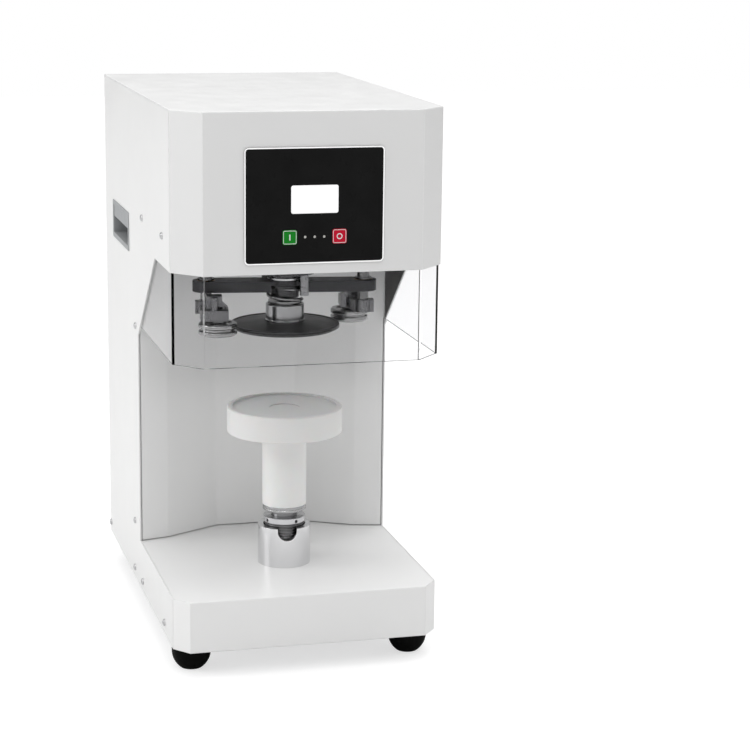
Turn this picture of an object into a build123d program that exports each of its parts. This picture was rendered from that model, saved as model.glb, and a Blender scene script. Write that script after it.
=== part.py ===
from build123d import *

import os
from math import acos, atan, cos, degrees, hypot, radians, sin, tan

# Desktop can seamer. Millimetres, +Z up, the front faces -Y.
# The origin is on the table, in the middle of the case seen from above.

# Case
case_width = 260.0
case_depth = 437.0
case_top = 540.0
foot_height = 26.0
base_height = 50.3
head_height = 150.0
sheet = 1.5
head_chamfer_across = 26.0
head_chamfer_deep = 27.6
base_setback = 10.0
base_chamfer_across = 14.0
base_chamfer_deep = 17.0
column_setback = 221.0
slant_setback = 112.0
slant_drop = 96.0
edge_rounding = 1.2
touch_gap = 0.3
seam_gap = 0.9

front = -case_depth / 2
rear = case_depth / 2
half_width = case_width / 2
inner_half = half_width - sheet
head_bottom = case_top - head_height
base_top = foot_height + base_height
base_front = front + base_setback
column_front = front + column_setback
slant_top = front + slant_setback
slant_bottom = head_bottom - slant_drop
side_front = front + head_chamfer_deep
base_side_front = base_front + base_chamfer_deep

# Folded panel of the column, seen from above: side strips, slanted facets, flat back
strip_width = 29.0
strip_fall = 7.0
recess_flat = 86.0
recess_depth = 38.0
fold_radius = 6.0

# Mechanism plate and the uprights that carry it
plate_top = 454.0
plate_thickness = 8.0
plate_front_gap = 8.0
flange_drop = 40.0
flange_thickness = 4.0
upright_width = 30.0
upright_depth = 40.0
upright_wall = 4.0
bottom_thickness = 2.0
bottom_flange = 22.0

plate_bottom = plate_top - plate_thickness
floor_top = foot_height + bottom_thickness

# Clear guard round the seaming head
guard_thickness = 3.0
guard_bottom = 303.5
guard_top = 430.0
guard_end_gap = 7.5
guard_front_overlap = 10.0
guard_ear_start = 55.0
guard_corner = 3.0

# Recessed hand holds in the side panels
handle_front_gap = 1.0
handle_height = 40.0
handle_rear_gap = 56.0
handle_bottom = 371.5
handle_depth = 24.0
handle_wall = 2.5
handle_lip_height = 12.5
handle_lip_thickness = 3.0
handle_rim_proud = 0.8

# Feet and screws
foot_radius = 19.0
foot_tip_radius = 10.5
foot_shoulder = 9.0
foot_inset_side = 21.5
rear_foot_inset_side = 28.0
foot_inset_end = 38.0
screw_head_radius = 3.5
screw_head_height = 2.0
screw_shank_radius = 2.0
screw_length = 6.0
screw_edge_height = 11.5
head_screw_height = 28.5
head_screw_setback = 68.0
head_screw_back_gap = 27.5
column_screw_inset = 13.5
column_screw_drop = 7.0
low_screw_inset = 31.0
low_screw_rise = 13.7
base_screw_setback = 73.0
base_screw_front_gap = 16.0
base_screw_inset = 35.0
rear_screw_inset = 7.0
rear_screw_side_inset = 10.0
rear_screw_low = 200.0
rear_screw_high = 400.0
rear_screw_top_gap = 14.0

# Control panel on the head
overlay_width = 131.7
overlay_height = 107.3
overlay_bottom = 399.6
overlay_thickness = 1.0
overlay_corner = 4.0
display_width = 44.6
display_height = 26.0
display_bottom = 446.0
display_corner = 2.0
key_side = 13.6
key_height = 424.3
key_spacing = 47.0
key_corner = 2.0
key_travel = 0.8
key_proud = 0.4
key_clearance = 0.25
lens_radius = 1.2
lens_spacing = 9.0
opening_margin = 8.0
board_gap = 5.5
board_thickness = 1.6
key_body = 3.2
board_inset = 2.0
display_block_margin = 1.0

# Seaming head, all on one upright axis
axis_setback = 122.5
beam_turn = -8.0
chuck_radius = 53.75
chuck_rim_bottom = 317.4
chuck_rim = 3.6
chuck_plug_radius = 50.0
chuck_plug = 2.0
chuck_hub_radius = 20.0
chuck_cone_rise = 2.4
chuck_travel = 2.5
collar_radius = 18.8
collar_height = 17.2
collar_foot_radius = 19.5
collar_foot = 1.4
spindle_radius = 8.0
running_fit = 0.1
spring_coil_radius = 16.35
spring_wire = 3.8
spring_length = 13.0
spring_pitch = 10.0
spring_start = 234.0
seat_radius = 16.5
seat_thickness = 2.6
spring_neck = 1.7
spring_seat = 1.5
neck_inset = 2.5
sleeve_radius = 13.7
sleeve_gap = 0.8
spindle_step = 2.0
spindle_nut_margin = 3.0
spindle_nut = 8.0
spindle_lift = 0.6
washer_thickness = 2.0
washer_radius = 13.0
washer_margin = 3.0
chuck_edge = 0.8
collar_rim = 1.9
collar_dish = 2.0

roller_radius = 18.5
roller_height = 11.8
roller_bottom = 316.5
roller_gap = 3.5
groove_of_first = 2.2
groove_of_second = 1.5
roller_edge = 1.2
roller_travel = 2.5
roller_pin_radius = 5.0
pin_head_margin = 3.0
pin_head = 2.0
pin_nut_margin = 3.5
pivot_radius = 77.0
arm_length = 36.0
arm_gap = 2.7
arm_thickness = 10.5
arm_barrel_radius = 8.2
arm_link_width = 14.0
holder_width = 26.5
holder_depth = 22.0
holder_offset = 3.5
holder_tower_width = 15.0
holder_tower_depth = 13.0
holder_tower_height = 12.5
clamp_pin_radius = 3.4
clamp_pin_drop = 0.5
holder_chamfer = 3.0
holder_shoulder = 1.0
ear_reach = 10.5
ear_width = 9.0
ear_rise = 2.0
ear_slit = 1.6

beam_bottom = 353.0
beam_thickness = 10.6
beam_width = 26.0
boss_radius = 16.5
hub_radius = 12.5
hub_bore = 8.6
hub_flange_radius = 30.0
hub_flange = 6.0
boss_height = 5.3
hub_ring = 1.8
hub_ring_radius = 17.2
hub_neck = 4.4
running_clearance = 1.2
post_width = 8.0
post_depth = 7.5
post_bottom = 350.8
post_start = 13.5
post_corner = 1.2
shaft_radius = 6.0
shaft_neck_radius = 5.2
shaft_collar = 2.0
bush_wall = 2.5
bush_fit = 0.05

# Cam cone and the levers that ride on it
lever_bottom = 388.0
lever_thickness = 6.0
lever_length = 67.0
lever_hub_radius = 11.0
lever_width = 12.0
lever_hub_rise = 2.0
follower_radius = 7.0
follower_height = 8.0
follower_pin_radius = 3.0
follower_pin_head = 2.0
follower_shoulder = 1.0
follower_orbit = 24.8
cone_travel = 12.0
cone_lead = 2.0
cone_skirt = 4.0
cone_rise = 17.0
cone_crown = 3.6
cone_land = 4.0
groove_depth = 4.4
groove_height = 5.4
fork_thickness = 4.2
fork_reach = 70.0
fork_width = 24.0
fork_screw_radius = 5.0
fork_screw_gap = 1.0
fork_screw_bottom = 398.0
fork_nut_radius = 11.0
fork_nut_drop = 4.0
fork_motor_radius = 18.5
fork_motor_height = 42.0

# Bearings, drive and the bridge over them
housing_radius = 32.0
housing_flange_radius = 42.0
housing_bottom = 440.0
housing_top = 474.0
bearing_outer = 23.5
bearing_width = 12.0
pulley_bottom = 478.0
pulley_width = 14.0
rotor_pulley_radius = 45.0
motor_pulley_radius = 18.0
belt_thickness = 2.5
belt_width = 11.0
belt_centres = 200.0
motor_radius = 40.0
motor_height = 96.0
motor_shaft_radius = 6.0
motor_shaft_gap = 2.0
motor_chamfer = 4.0
hub_end = 4.0
bridge_bottom = 500.0
bridge_thickness = 8.0
bridge_span = 120.0
bridge_post_radius = 6.0
spindle_top = 520.0

# Can lift
guide_radius = 26.3
guide_top = 116.0
guide_spigot_radius = 22.0
guide_spigot = 14.0
notch_width = 19.0
notch_depth = 12.0
notch_turn = -5.0
ring_radius = 20.7
ring_bottom = 98.0
ring_top = 125.0
ring_band = 5.6
ring_foot = 1.4
ring_waist_radius = 18.9
ring_thread_radius = 18.4
ring_thread_depth = 1.0
ring_thread_pitch = 3.0
ring_hole_radius = 1.6
ring_hole_drop = 3.2
ring_hole_turn = 23.2
lift_radius = 12.75
lift_bottom = 62.0
lift_bore = 8.0
lift_neck = 6.0
flange_radius = 21.5
flange_height = 6.0
flange_chamfer = 0.8
flange_groove = 0.8
post_radius = 21.85
post_height = 74.3
tray_radius = 57.0
tray_height = 26.0
tray_rim = 5.3
tray_edge = 1.5
tray_recess = 2.0
tray_boss_radius = 15.0
tray_boss_depth = 1.0
tray_stub_radius = 9.0
tray_stub = 12.0
lift_screw_radius = 6.0
lift_motor_side = 56.0
lift_motor_height = 30.0
lift_motor_corner = 6.0
lift_screw_end_gap = 3.0

# Rear
louvre_count = 9
louvre_length = 130.0
louvre_height = 5.0
louvre_pitch = 12.0
louvre_bottom = 250.0
inlet_width = 48.0
inlet_height = 28.0
inlet_flange = 2.0
inlet_depth = 22.0
inlet_ear = 7.0
inlet_lip = 3.0
inlet_wall = 3.5
inlet_pin_width = 2.0
inlet_pin_height = 4.0
inlet_pin_length = 12.0
inlet_pin_spacing = 7.0
inlet_pin_drop = 2.0
inlet_earth_rise = 2.5
inlet_side_gap = 60.0
inlet_z = 62.0
switch_width = 22.0
switch_height = 31.0
switch_depth = 18.0
switch_side_gap = 115.0
switch_wall = 3.0
rocker_swing = 14.0
rocker_depth = 11.0
rocker_edge = 6.0
rocker_end_gap = 2.5
rocker_pivot_radius = 1.8
rocker_pivot_depth = 3.0
rocker_pivot_reach = 1.2

guard_back = column_front - guard_end_gap
inlet_x = inlet_side_gap - half_width
switch_x = switch_side_gap - half_width
upright_front = column_front + strip_fall + 2 * sheet
axis_y = front + axis_setback
turn_radians = radians(beam_turn)
roller_orbit = chuck_radius + roller_gap + roller_radius
roller_angle = acos((pivot_radius**2 + roller_orbit**2 - arm_length**2) / (2 * pivot_radius * roller_orbit))
roller_x = roller_orbit * cos(roller_angle)
roller_y = roller_orbit * sin(roller_angle)
arm_bottom = roller_bottom + roller_height + arm_gap
arm_top = arm_bottom + arm_thickness
collar_bottom = chuck_rim_bottom + chuck_rim + chuck_cone_rise
collar_top = collar_bottom + collar_height
spring_bottom = collar_top + spring_neck + spring_seat
spring_top = spring_bottom + spring_length
beam_top = beam_bottom + beam_thickness
boss_bottom = spring_top + seat_thickness + touch_gap
boss_top = boss_bottom + boss_height
flange_bottom = boss_top + hub_ring + hub_neck
flange_top = flange_bottom + hub_flange
hub_top = pulley_bottom + pulley_width + hub_end

os.makedirs("parts", exist_ok=True)


def beam_plane(height, turn=0.0):
    """Level plane on the seaming axis, its x along the rotor beam."""
    angle = turn_radians + radians(turn)
    return Plane(origin=(0, axis_y, height), x_dir=(cos(angle), sin(angle), 0), z_dir=(0, 0, 1))


def axis_plane(height):
    """Level plane on the seaming axis."""
    return Plane.XY.offset(height).move(Location((0, axis_y, 0)))


def side_plane(x):
    """Upright plane that looks along X, with Y to the right and Z up."""
    return Plane(origin=(x, 0, 0), x_dir=(0, 1, 0), z_dir=(1, 0, 0))


def front_plane(y):
    """Upright plane that looks towards the front, with X to the right and Z up."""
    return Plane(origin=(0, y, 0), x_dir=(1, 0, 0), z_dir=(0, -1, 0))


# Places of the side screws, as (y, z): two in the head, two in the column, four along the base
screw_row = foot_height + screw_edge_height
side_screw_places = [
    (front + head_screw_setback, head_bottom + head_screw_height),
    (guard_back - head_screw_back_gap, head_bottom + head_screw_height),
    (column_front + column_screw_inset, slant_bottom + column_screw_drop),
    (column_front + low_screw_inset, base_top + low_screw_rise),
    (front + base_screw_setback, screw_row),
    (column_front - base_screw_front_gap, screw_row),
    (column_front + base_screw_inset, screw_row),
    (rear - rear_screw_inset, screw_row),
]
rear_screw_places = [
    (side * (inner_half - rear_screw_side_inset), height)
    for side in (-1, 1)
    for height in (screw_row, rear_screw_low, rear_screw_high, case_top - rear_screw_top_gap)
]

handle_front = upright_front + upright_depth + handle_front_gap
handle_length = rear - handle_rear_gap - handle_front
handle_y = handle_front + handle_length / 2
handle_z = handle_bottom + handle_height / 2


def side_panel(side):
    """Flat side of the case: head, slanted gusset, column and base in one sheet."""
    with BuildPart() as panel:
        with BuildSketch(side_plane(side * half_width)):
            with BuildLine():
                Polyline(
                    (rear, foot_height),
                    (rear, case_top - sheet),
                    (side_front, case_top - sheet),
                    (side_front, head_bottom),
                    (slant_top, head_bottom),
                    (column_front, slant_bottom),
                    (column_front, base_top),
                    (base_side_front, base_top),
                    (base_side_front, foot_height),
                    close=True,
                )
            make_face()
            with Locations((handle_y, handle_z)):
                Rectangle(
                    handle_length - 2 * handle_wall,
                    handle_height - 2 * handle_wall,
                    mode=Mode.SUBTRACT,
                )
            with Locations(*side_screw_places):
                Circle(screw_shank_radius, mode=Mode.SUBTRACT)
        extrude(amount=-side * sheet)
    return panel.part


left_side_panel = side_panel(-1)
left_side_panel.label = "left_side_panel"
export_step(left_side_panel, "parts/left_side_panel.step")

right_side_panel = side_panel(1)
right_side_panel.label = "right_side_panel"
export_step(right_side_panel, "parts/right_side_panel.step")


def nose_outline(nose_front, across, deep, back, inset=0.0):
    """Plan of a box with two chamfered front corners, set in by a sheet thickness."""
    slope = inset * (hypot(across, deep) - across) / deep
    slope_side = inset * (hypot(across, deep) - deep) / across
    half = half_width - inset
    with BuildLine() as outline:
        Polyline(
            (half, back),
            (half, nose_front + deep + slope_side),
            (half_width - across - slope, nose_front + inset),
            (-half_width + across + slope, nose_front + inset),
            (-half, nose_front + deep + slope_side),
            (-half, back),
            close=True,
        )
    return outline.line


# Head cover: top sheet folded down into the front and its two chamfers
with BuildPart() as head_cover:
    with BuildSketch(Plane.XY.offset(head_bottom)):
        add(nose_outline(front, head_chamfer_across, head_chamfer_deep, rear))
        make_face()
    extrude(amount=head_height)
    top_edges = head_cover.edges().group_by(Axis.Z)[-1]
    fillet(top_edges, radius=edge_rounding)
    with BuildSketch(Plane.XY.offset(head_bottom)):
        add(nose_outline(front, head_chamfer_across, head_chamfer_deep, rear + sheet, sheet))
        make_face()
    extrude(amount=head_height - sheet, mode=Mode.SUBTRACT)
    with BuildSketch(Plane.XY.offset(head_bottom)):
        with Locations((0, (side_front + rear) / 2)):
            Rectangle(case_width, rear - side_front)
    extrude(amount=head_height - sheet, mode=Mode.SUBTRACT)
    with BuildSketch(front_plane(front)):
        with Locations((0, (overlay_bottom + overlay_bottom + overlay_height) / 2)):
            Rectangle(overlay_width - 2 * opening_margin, overlay_height - 2 * opening_margin)
    extrude(amount=-sheet, mode=Mode.SUBTRACT)
head_cover.part.label = "head_cover"
export_step(head_cover.part, "parts/head_cover.step")

# Folded front panel of the column, from the base up to the mechanism plate
with BuildPart() as column_panel:
    with BuildSketch(Plane.XY.offset(base_top + seam_gap)):
        with BuildLine():
            FilletPolyline(
                (-inner_half + seam_gap, column_front),
                (-inner_half + strip_width, column_front + strip_fall),
                (-recess_flat / 2, column_front + recess_depth),
                (recess_flat / 2, column_front + recess_depth),
                (inner_half - strip_width, column_front + strip_fall),
                (inner_half - seam_gap, column_front),
                radius=fold_radius,
            )
            offset(amount=sheet, side=Side.LEFT)
        make_face()
        with Locations((0, column_front + recess_depth / 2)):
            Rectangle(2 * inner_half, 2 * recess_depth, mode=Mode.INTERSECT)
    extrude(amount=plate_bottom - base_top - seam_gap)
column_panel.part.label = "column_panel"
export_step(column_panel.part, "parts/column_panel.step")

# Base cover: the table that the lift stands on, folded down at the front
base_back = column_front + recess_depth + 3 * sheet
with BuildPart() as base_cover:
    with BuildSketch(Plane.XY.offset(foot_height)):
        add(nose_outline(base_front, base_chamfer_across, base_chamfer_deep, base_back))
        make_face()
    extrude(amount=base_height)
    base_edges = base_cover.edges().group_by(Axis.Z)[-1].group_by(Axis.Y)[0]
    fillet(base_edges, radius=edge_rounding)
    with BuildSketch(Plane.XY.offset(foot_height)):
        add(nose_outline(base_front, base_chamfer_across, base_chamfer_deep, base_back + sheet, sheet))
        make_face()
    extrude(amount=base_height - sheet, mode=Mode.SUBTRACT)
    for side in (-1, 1):
        with BuildSketch(Plane.XY.offset(foot_height)):
            with Locations((side * (half_width - sheet / 2), (base_side_front + base_back) / 2)):
                Rectangle(sheet, base_back - base_side_front)
            with Locations((side * inner_half, upright_front + upright_depth / 2)):
                Rectangle(2 * (upright_width + touch_gap), upright_depth + 2 * touch_gap)
        extrude(amount=base_height, mode=Mode.SUBTRACT)
    with BuildSketch(axis_plane(base_top - sheet)):
        Circle(guide_spigot_radius)
    extrude(amount=sheet, mode=Mode.SUBTRACT)
base_cover.part.label = "base_cover"
export_step(base_cover.part, "parts/base_cover.step")

# Bottom plate: shallow tray that closes the case from below
foot_places = [
    (side * (half_width - inset), end)
    for side in (-1, 1)
    for inset, end in (
        (foot_inset_side, base_front + foot_inset_end),
        (rear_foot_inset_side, rear - foot_inset_end),
    )
]
with BuildPart() as bottom_plate:
    with BuildSketch(Plane.XY.offset(foot_height)):
        add(nose_outline(base_front, base_chamfer_across, base_chamfer_deep, rear - sheet, sheet))
        make_face()
    extrude(amount=bottom_flange)
    with BuildSketch(Plane.XY.offset(floor_top)):
        bottom_inset = sheet + bottom_thickness
        add(
            nose_outline(
                base_front, base_chamfer_across, base_chamfer_deep, rear - bottom_inset, bottom_inset
            )
        )
        make_face()
    extrude(amount=bottom_flange, mode=Mode.SUBTRACT)
    for side in (-1, 1):
        with BuildSketch(side_plane(side * inner_half)):
            with Locations(*[place for place in side_screw_places if place[1] < base_top]):
                Circle(screw_shank_radius)
        extrude(amount=-side * bottom_thickness, mode=Mode.SUBTRACT)
    with BuildSketch(front_plane(rear - sheet)):
        with Locations(*[place for place in rear_screw_places if place[1] < base_top]):
            Circle(screw_shank_radius)
    extrude(amount=bottom_thickness, mode=Mode.SUBTRACT)
bottom_plate.part.label = "bottom_plate"
export_step(bottom_plate.part, "parts/bottom_plate.step")

# Rear panel with louvre slots, inlet and switch openings
with BuildPart() as rear_panel:
    with BuildSketch(front_plane(rear)):
        with Locations((0, (foot_height + case_top - sheet) / 2)):
            Rectangle(2 * inner_half, case_top - sheet - foot_height)
        with Locations(*[(0, louvre_bottom + louvre_pitch * step) for step in range(louvre_count)]):
            SlotOverall(louvre_length, louvre_height, mode=Mode.SUBTRACT)
        with Locations((inlet_x, inlet_z)):
            Rectangle(inlet_width - 2 * inlet_ear, inlet_height - 2 * inlet_lip, mode=Mode.SUBTRACT)
        with Locations((switch_x, inlet_z)):
            Rectangle(switch_width - switch_wall, switch_height - switch_wall, mode=Mode.SUBTRACT)
        with Locations(*rear_screw_places):
            Circle(screw_shank_radius, mode=Mode.SUBTRACT)
    extrude(amount=sheet)
rear_panel.part.label = "rear_panel"
export_step(rear_panel.part, "parts/rear_panel.step")

# Uprights: two channels from the bottom plate to the mechanism plate
with BuildPart() as frame_uprights:
    for side in (-1, 1):
        with BuildSketch(Plane.XY.offset(floor_top)):
            with Locations((side * (inner_half - upright_width / 2), upright_front + upright_depth / 2)):
                Rectangle(upright_width, upright_depth)
            with Locations(
                (side * (inner_half - upright_width / 2 - upright_wall), upright_front + upright_depth / 2)
            ):
                Rectangle(upright_width, upright_depth - 2 * upright_wall, mode=Mode.SUBTRACT)
        extrude(amount=plate_bottom - floor_top)
        with BuildSketch(side_plane(side * inner_half)):
            with Locations((upright_front, foot_height + bottom_flange / 2)):
                Rectangle(3 * upright_depth, bottom_flange + 2 * touch_gap)
        extrude(amount=-side * (bottom_thickness + touch_gap), mode=Mode.SUBTRACT)
        with BuildSketch(side_plane(side * inner_half)):
            with Locations(*side_screw_places):
                Circle(screw_shank_radius)
        extrude(amount=-side * screw_length, mode=Mode.SUBTRACT)
frame_uprights.part.label = "frame_uprights"
export_step(frame_uprights.part, "parts/frame_uprights.step")

# Mechanism plate: carries the head, its side flanges take the upper side screws
plate_half = inner_half - guard_thickness
plate_front = front + sheet + guard_thickness + plate_front_gap + head_chamfer_deep
motor_y = axis_y + belt_centres
with BuildPart() as mechanism_plate:
    with BuildSketch(Plane.XY.offset(plate_bottom)):
        with Locations((0, (plate_front + rear - sheet) / 2)):
            Rectangle(2 * plate_half, rear - sheet - plate_front)
        with Locations((0, axis_y)):
            Circle(housing_radius, mode=Mode.SUBTRACT)
        with Locations((0, axis_y + fork_reach)):
            Circle(fork_screw_radius + fork_screw_gap, mode=Mode.SUBTRACT)
        with Locations((0, motor_y)):
            Circle(motor_shaft_radius + motor_shaft_gap, mode=Mode.SUBTRACT)
    extrude(amount=plate_thickness)
    for side in (-1, 1):
        with BuildSketch(Plane.XY.offset(plate_bottom - flange_drop)):
            with Locations((side * (plate_half - flange_thickness / 2), (plate_front + guard_back) / 2)):
                Rectangle(flange_thickness, guard_back - plate_front)
        extrude(amount=flange_drop)
        with BuildSketch(side_plane(side * plate_half)):
            with Locations(*side_screw_places[:2]):
                Circle(screw_shank_radius)
        extrude(amount=-side * flange_thickness, mode=Mode.SUBTRACT)
mechanism_plate.part.label = "mechanism_plate"
export_step(mechanism_plate.part, "parts/mechanism_plate.step")


def side_handle(side):
    """Moulded hand hold: thin rim outside, pocket inside, finger lip across the top."""
    pocket_length = handle_length - 4 * handle_wall
    pocket_height = handle_height - 4 * handle_wall
    with BuildPart() as handle:
        with BuildSketch(side_plane(side * half_width)):
            with Locations((handle_y, handle_z)):
                RectangleRounded(handle_length, handle_height, handle_wall)
        extrude(amount=side * handle_rim_proud)
        with BuildSketch(side_plane(side * half_width)):
            with Locations((handle_y, handle_z)):
                Rectangle(handle_length - 2 * handle_wall, handle_height - 2 * handle_wall)
        extrude(amount=-side * handle_depth)
        with BuildSketch(side_plane(side * (half_width + handle_rim_proud))):
            with Locations((handle_y, handle_z)):
                Rectangle(pocket_length, pocket_height)
        extrude(amount=-side * (handle_depth + handle_rim_proud - handle_wall), mode=Mode.SUBTRACT)
        with BuildSketch(side_plane(side * (half_width - handle_lip_thickness))):
            with Locations((handle_y, handle_z + pocket_height / 2 - handle_lip_height / 2)):
                Rectangle(pocket_length, handle_lip_height)
        extrude(amount=side * handle_lip_thickness)
    return handle.part


with BuildPart() as side_handles:
    for side in (-1, 1):
        add(side_handle(side))
side_handles.part.label = "side_handles"
export_step(side_handles.part, "parts/side_handles.step")

# Rubber feet: a straight shoulder that rounds in to a flat tip
with BuildPart() as one_foot:
    with BuildSketch(Plane.XZ):
        with BuildLine():
            Polyline(
                (foot_tip_radius, 0),
                (0, 0),
                (0, foot_height),
                (foot_radius, foot_height),
                (foot_radius, foot_height - foot_shoulder),
            )
            foot_curve = foot_height - foot_shoulder
            foot_bulge = (foot_radius - foot_tip_radius) / 5
            ThreePointArc(
                (foot_radius, foot_curve),
                ((foot_radius + foot_tip_radius) / 2 + foot_bulge, foot_curve / 2 - foot_bulge),
                (foot_tip_radius, 0),
            )
        make_face()
    revolve(axis=Axis.Z)
with BuildPart() as rubber_feet:
    with Locations(*foot_places):
        add(one_foot.part)
rubber_feet.part.label = "rubber_feet"
export_step(rubber_feet.part, "parts/rubber_feet.step")


def screw(place_plane):
    """Pan-head screw whose head rests on the plane and whose shank goes behind it."""
    with BuildPart() as one_screw:
        with BuildSketch(place_plane):
            Circle(screw_head_radius)
        extrude(amount=screw_head_height)
        outer_edges = one_screw.edges().sort_by(Axis(place_plane.origin, place_plane.z_dir))
        fillet(outer_edges[-1], radius=screw_head_height - touch_gap)
        with BuildSketch(place_plane):
            Circle(screw_shank_radius)
        extrude(amount=-screw_length)
    return one_screw.part


with BuildPart() as side_screws:
    for side in (-1, 1):
        for along, height in side_screw_places:
            screw_plane = Plane(origin=(side * half_width, along, height), z_dir=(side, 0, 0))
            add(screw(screw_plane))
side_screws.part.label = "side_screws"
export_step(side_screws.part, "parts/side_screws.step")

with BuildPart() as rear_screws:
    for across, height in rear_screw_places:
        add(screw(Plane(origin=(across, rear, height), z_dir=(0, 1, 0))))
rear_screws.part.label = "rear_screws"
export_step(rear_screws.part, "parts/rear_screws.step")

# Clear guard: one bent sheet inside the head shell, hanging below it
with BuildPart() as clear_guard:
    with BuildSketch(Plane.XY.offset(guard_bottom)):
        add(nose_outline(front, head_chamfer_across, head_chamfer_deep, guard_back, sheet))
        make_face()
    extrude(amount=guard_top - guard_bottom)
    guard_bends = clear_guard.edges().filter_by(Axis.Z).group_by(Axis.Y)[:2]
    fillet(guard_bends[0] + guard_bends[1], radius=guard_corner)
    with BuildSketch(Plane.XY.offset(guard_bottom)):
        inset = sheet + guard_thickness
        add(nose_outline(front, head_chamfer_across, head_chamfer_deep, guard_back + sheet, inset))
        make_face()
    extrude(amount=guard_top - guard_bottom, mode=Mode.SUBTRACT)
    with BuildSketch(side_plane(-half_width)):
        with Locations(*side_screw_places[:2]):
            Circle(screw_shank_radius)
        with Locations((front, guard_top)):
            Rectangle(2 * guard_ear_start, 2 * (guard_top - head_bottom - guard_front_overlap))
    extrude(amount=case_width, mode=Mode.SUBTRACT)
clear_guard.part.label = "clear_guard"
export_step(clear_guard.part, "parts/clear_guard.step")

# Control overlay with its display window, lenses and two keys
overlay_z = overlay_bottom + overlay_height / 2
display_z = display_bottom + display_height / 2
key_places = [(-key_spacing / 2, key_height), (key_spacing / 2, key_height)]
lens_places = [(lens_spacing * step, key_height) for step in (-1, 0, 1)]
with BuildPart() as control_overlay:
    with BuildSketch(front_plane(front)):
        with Locations((0, overlay_z)):
            RectangleRounded(overlay_width, overlay_height, overlay_corner)
        with Locations((0, display_z)):
            RectangleRounded(display_width, display_height, display_corner, mode=Mode.SUBTRACT)
        with Locations(*key_places):
            key_hole = key_side + 2 * key_clearance
            RectangleRounded(key_hole, key_hole, key_corner + key_clearance, mode=Mode.SUBTRACT)
        with Locations(*lens_places):
            Circle(lens_radius, mode=Mode.SUBTRACT)
    extrude(amount=overlay_thickness)
control_overlay.part.label = "control_overlay"
export_step(control_overlay.part, "parts/control_overlay.step")

with BuildPart() as display_window:
    with BuildSketch(front_plane(front)):
        with Locations((0, display_z)):
            RectangleRounded(display_width, display_height, display_corner)
    extrude(amount=overlay_thickness)
display_window.part.label = "display_window"
export_step(display_window.part, "parts/display_window.step")

with BuildPart() as indicator_lenses:
    with BuildSketch(front_plane(front)):
        with Locations(*lens_places):
            Circle(lens_radius)
    extrude(amount=overlay_thickness)
indicator_lenses.part.label = "indicator_lenses"
export_step(indicator_lenses.part, "parts/indicator_lenses.step")


def key(across):
    """Key cap in its hole of the overlay, a little proud of it."""
    with BuildPart() as cap:
        with BuildSketch(front_plane(front - overlay_thickness - key_proud)):
            with Locations((across, key_height)):
                RectangleRounded(key_side, key_side, key_corner)
        extrude(amount=-key_body)
    return cap.part


green_key = key(-key_spacing / 2)
green_key.label = "green_key"
export_step(green_key, "parts/green_key.step")

red_key = key(key_spacing / 2)
red_key.label = "red_key"
export_step(red_key, "parts/red_key.step")

# Control board on four spacers, with a display block and a plunger behind each key
board_face = front + sheet + board_gap
board_width = overlay_width - board_inset
board_height = overlay_height - board_inset
with BuildPart() as control_board:
    with BuildSketch(front_plane(board_face + board_thickness)):
        with Locations((0, overlay_z)):
            Rectangle(board_width, board_height)
    extrude(amount=board_thickness)
    with BuildSketch(front_plane(board_face)):
        with Locations((0, overlay_z)):
            with GridLocations(board_width - opening_margin, board_height - opening_margin, 2, 2):
                Circle(opening_margin / 3)
    extrude(amount=board_gap)
    with BuildSketch(front_plane(board_face)):
        with Locations((0, display_z)):
            Rectangle(display_width + 2 * display_block_margin, display_height + 2 * display_block_margin)
    extrude(amount=board_gap + sheet)
    with BuildSketch(front_plane(board_face)):
        with Locations(*key_places):
            Circle(key_side / 4)
    key_back = front - overlay_thickness - key_proud + key_body
    extrude(amount=board_face - key_back - key_travel - key_clearance)
control_board.part.label = "control_board"
export_step(control_board.part, "parts/control_board.step")

# Power inlet and rocker switch at the foot of the rear panel
with BuildPart() as power_inlet:
    with BuildSketch(front_plane(rear + inlet_flange)):
        with Locations((inlet_x, inlet_z)):
            RectangleRounded(inlet_width, inlet_height, key_corner)
    extrude(amount=inlet_flange)
    with BuildSketch(front_plane(rear)):
        with Locations((inlet_x, inlet_z)):
            Rectangle(inlet_width - 2 * inlet_ear, inlet_height - 2 * inlet_lip)
    extrude(amount=inlet_depth)
    with BuildSketch(front_plane(rear + inlet_flange)):
        with Locations((inlet_x, inlet_z)):
            Rectangle(
                inlet_width - 2 * inlet_ear - 2 * inlet_wall, inlet_height - 2 * inlet_lip - 2 * inlet_wall
            )
    extrude(amount=inlet_depth - inlet_flange, mode=Mode.SUBTRACT)
    with BuildSketch(front_plane(rear - inlet_depth + 2 * inlet_flange)):
        with Locations((inlet_x, inlet_z)):
            with Locations(
                (-inlet_pin_spacing, -inlet_pin_drop),
                (0, inlet_earth_rise),
                (inlet_pin_spacing, -inlet_pin_drop),
            ):
                Rectangle(inlet_pin_width, inlet_pin_height)
    extrude(amount=-inlet_pin_length)
power_inlet.part.label = "power_inlet"
export_step(power_inlet.part, "parts/power_inlet.step")

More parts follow.
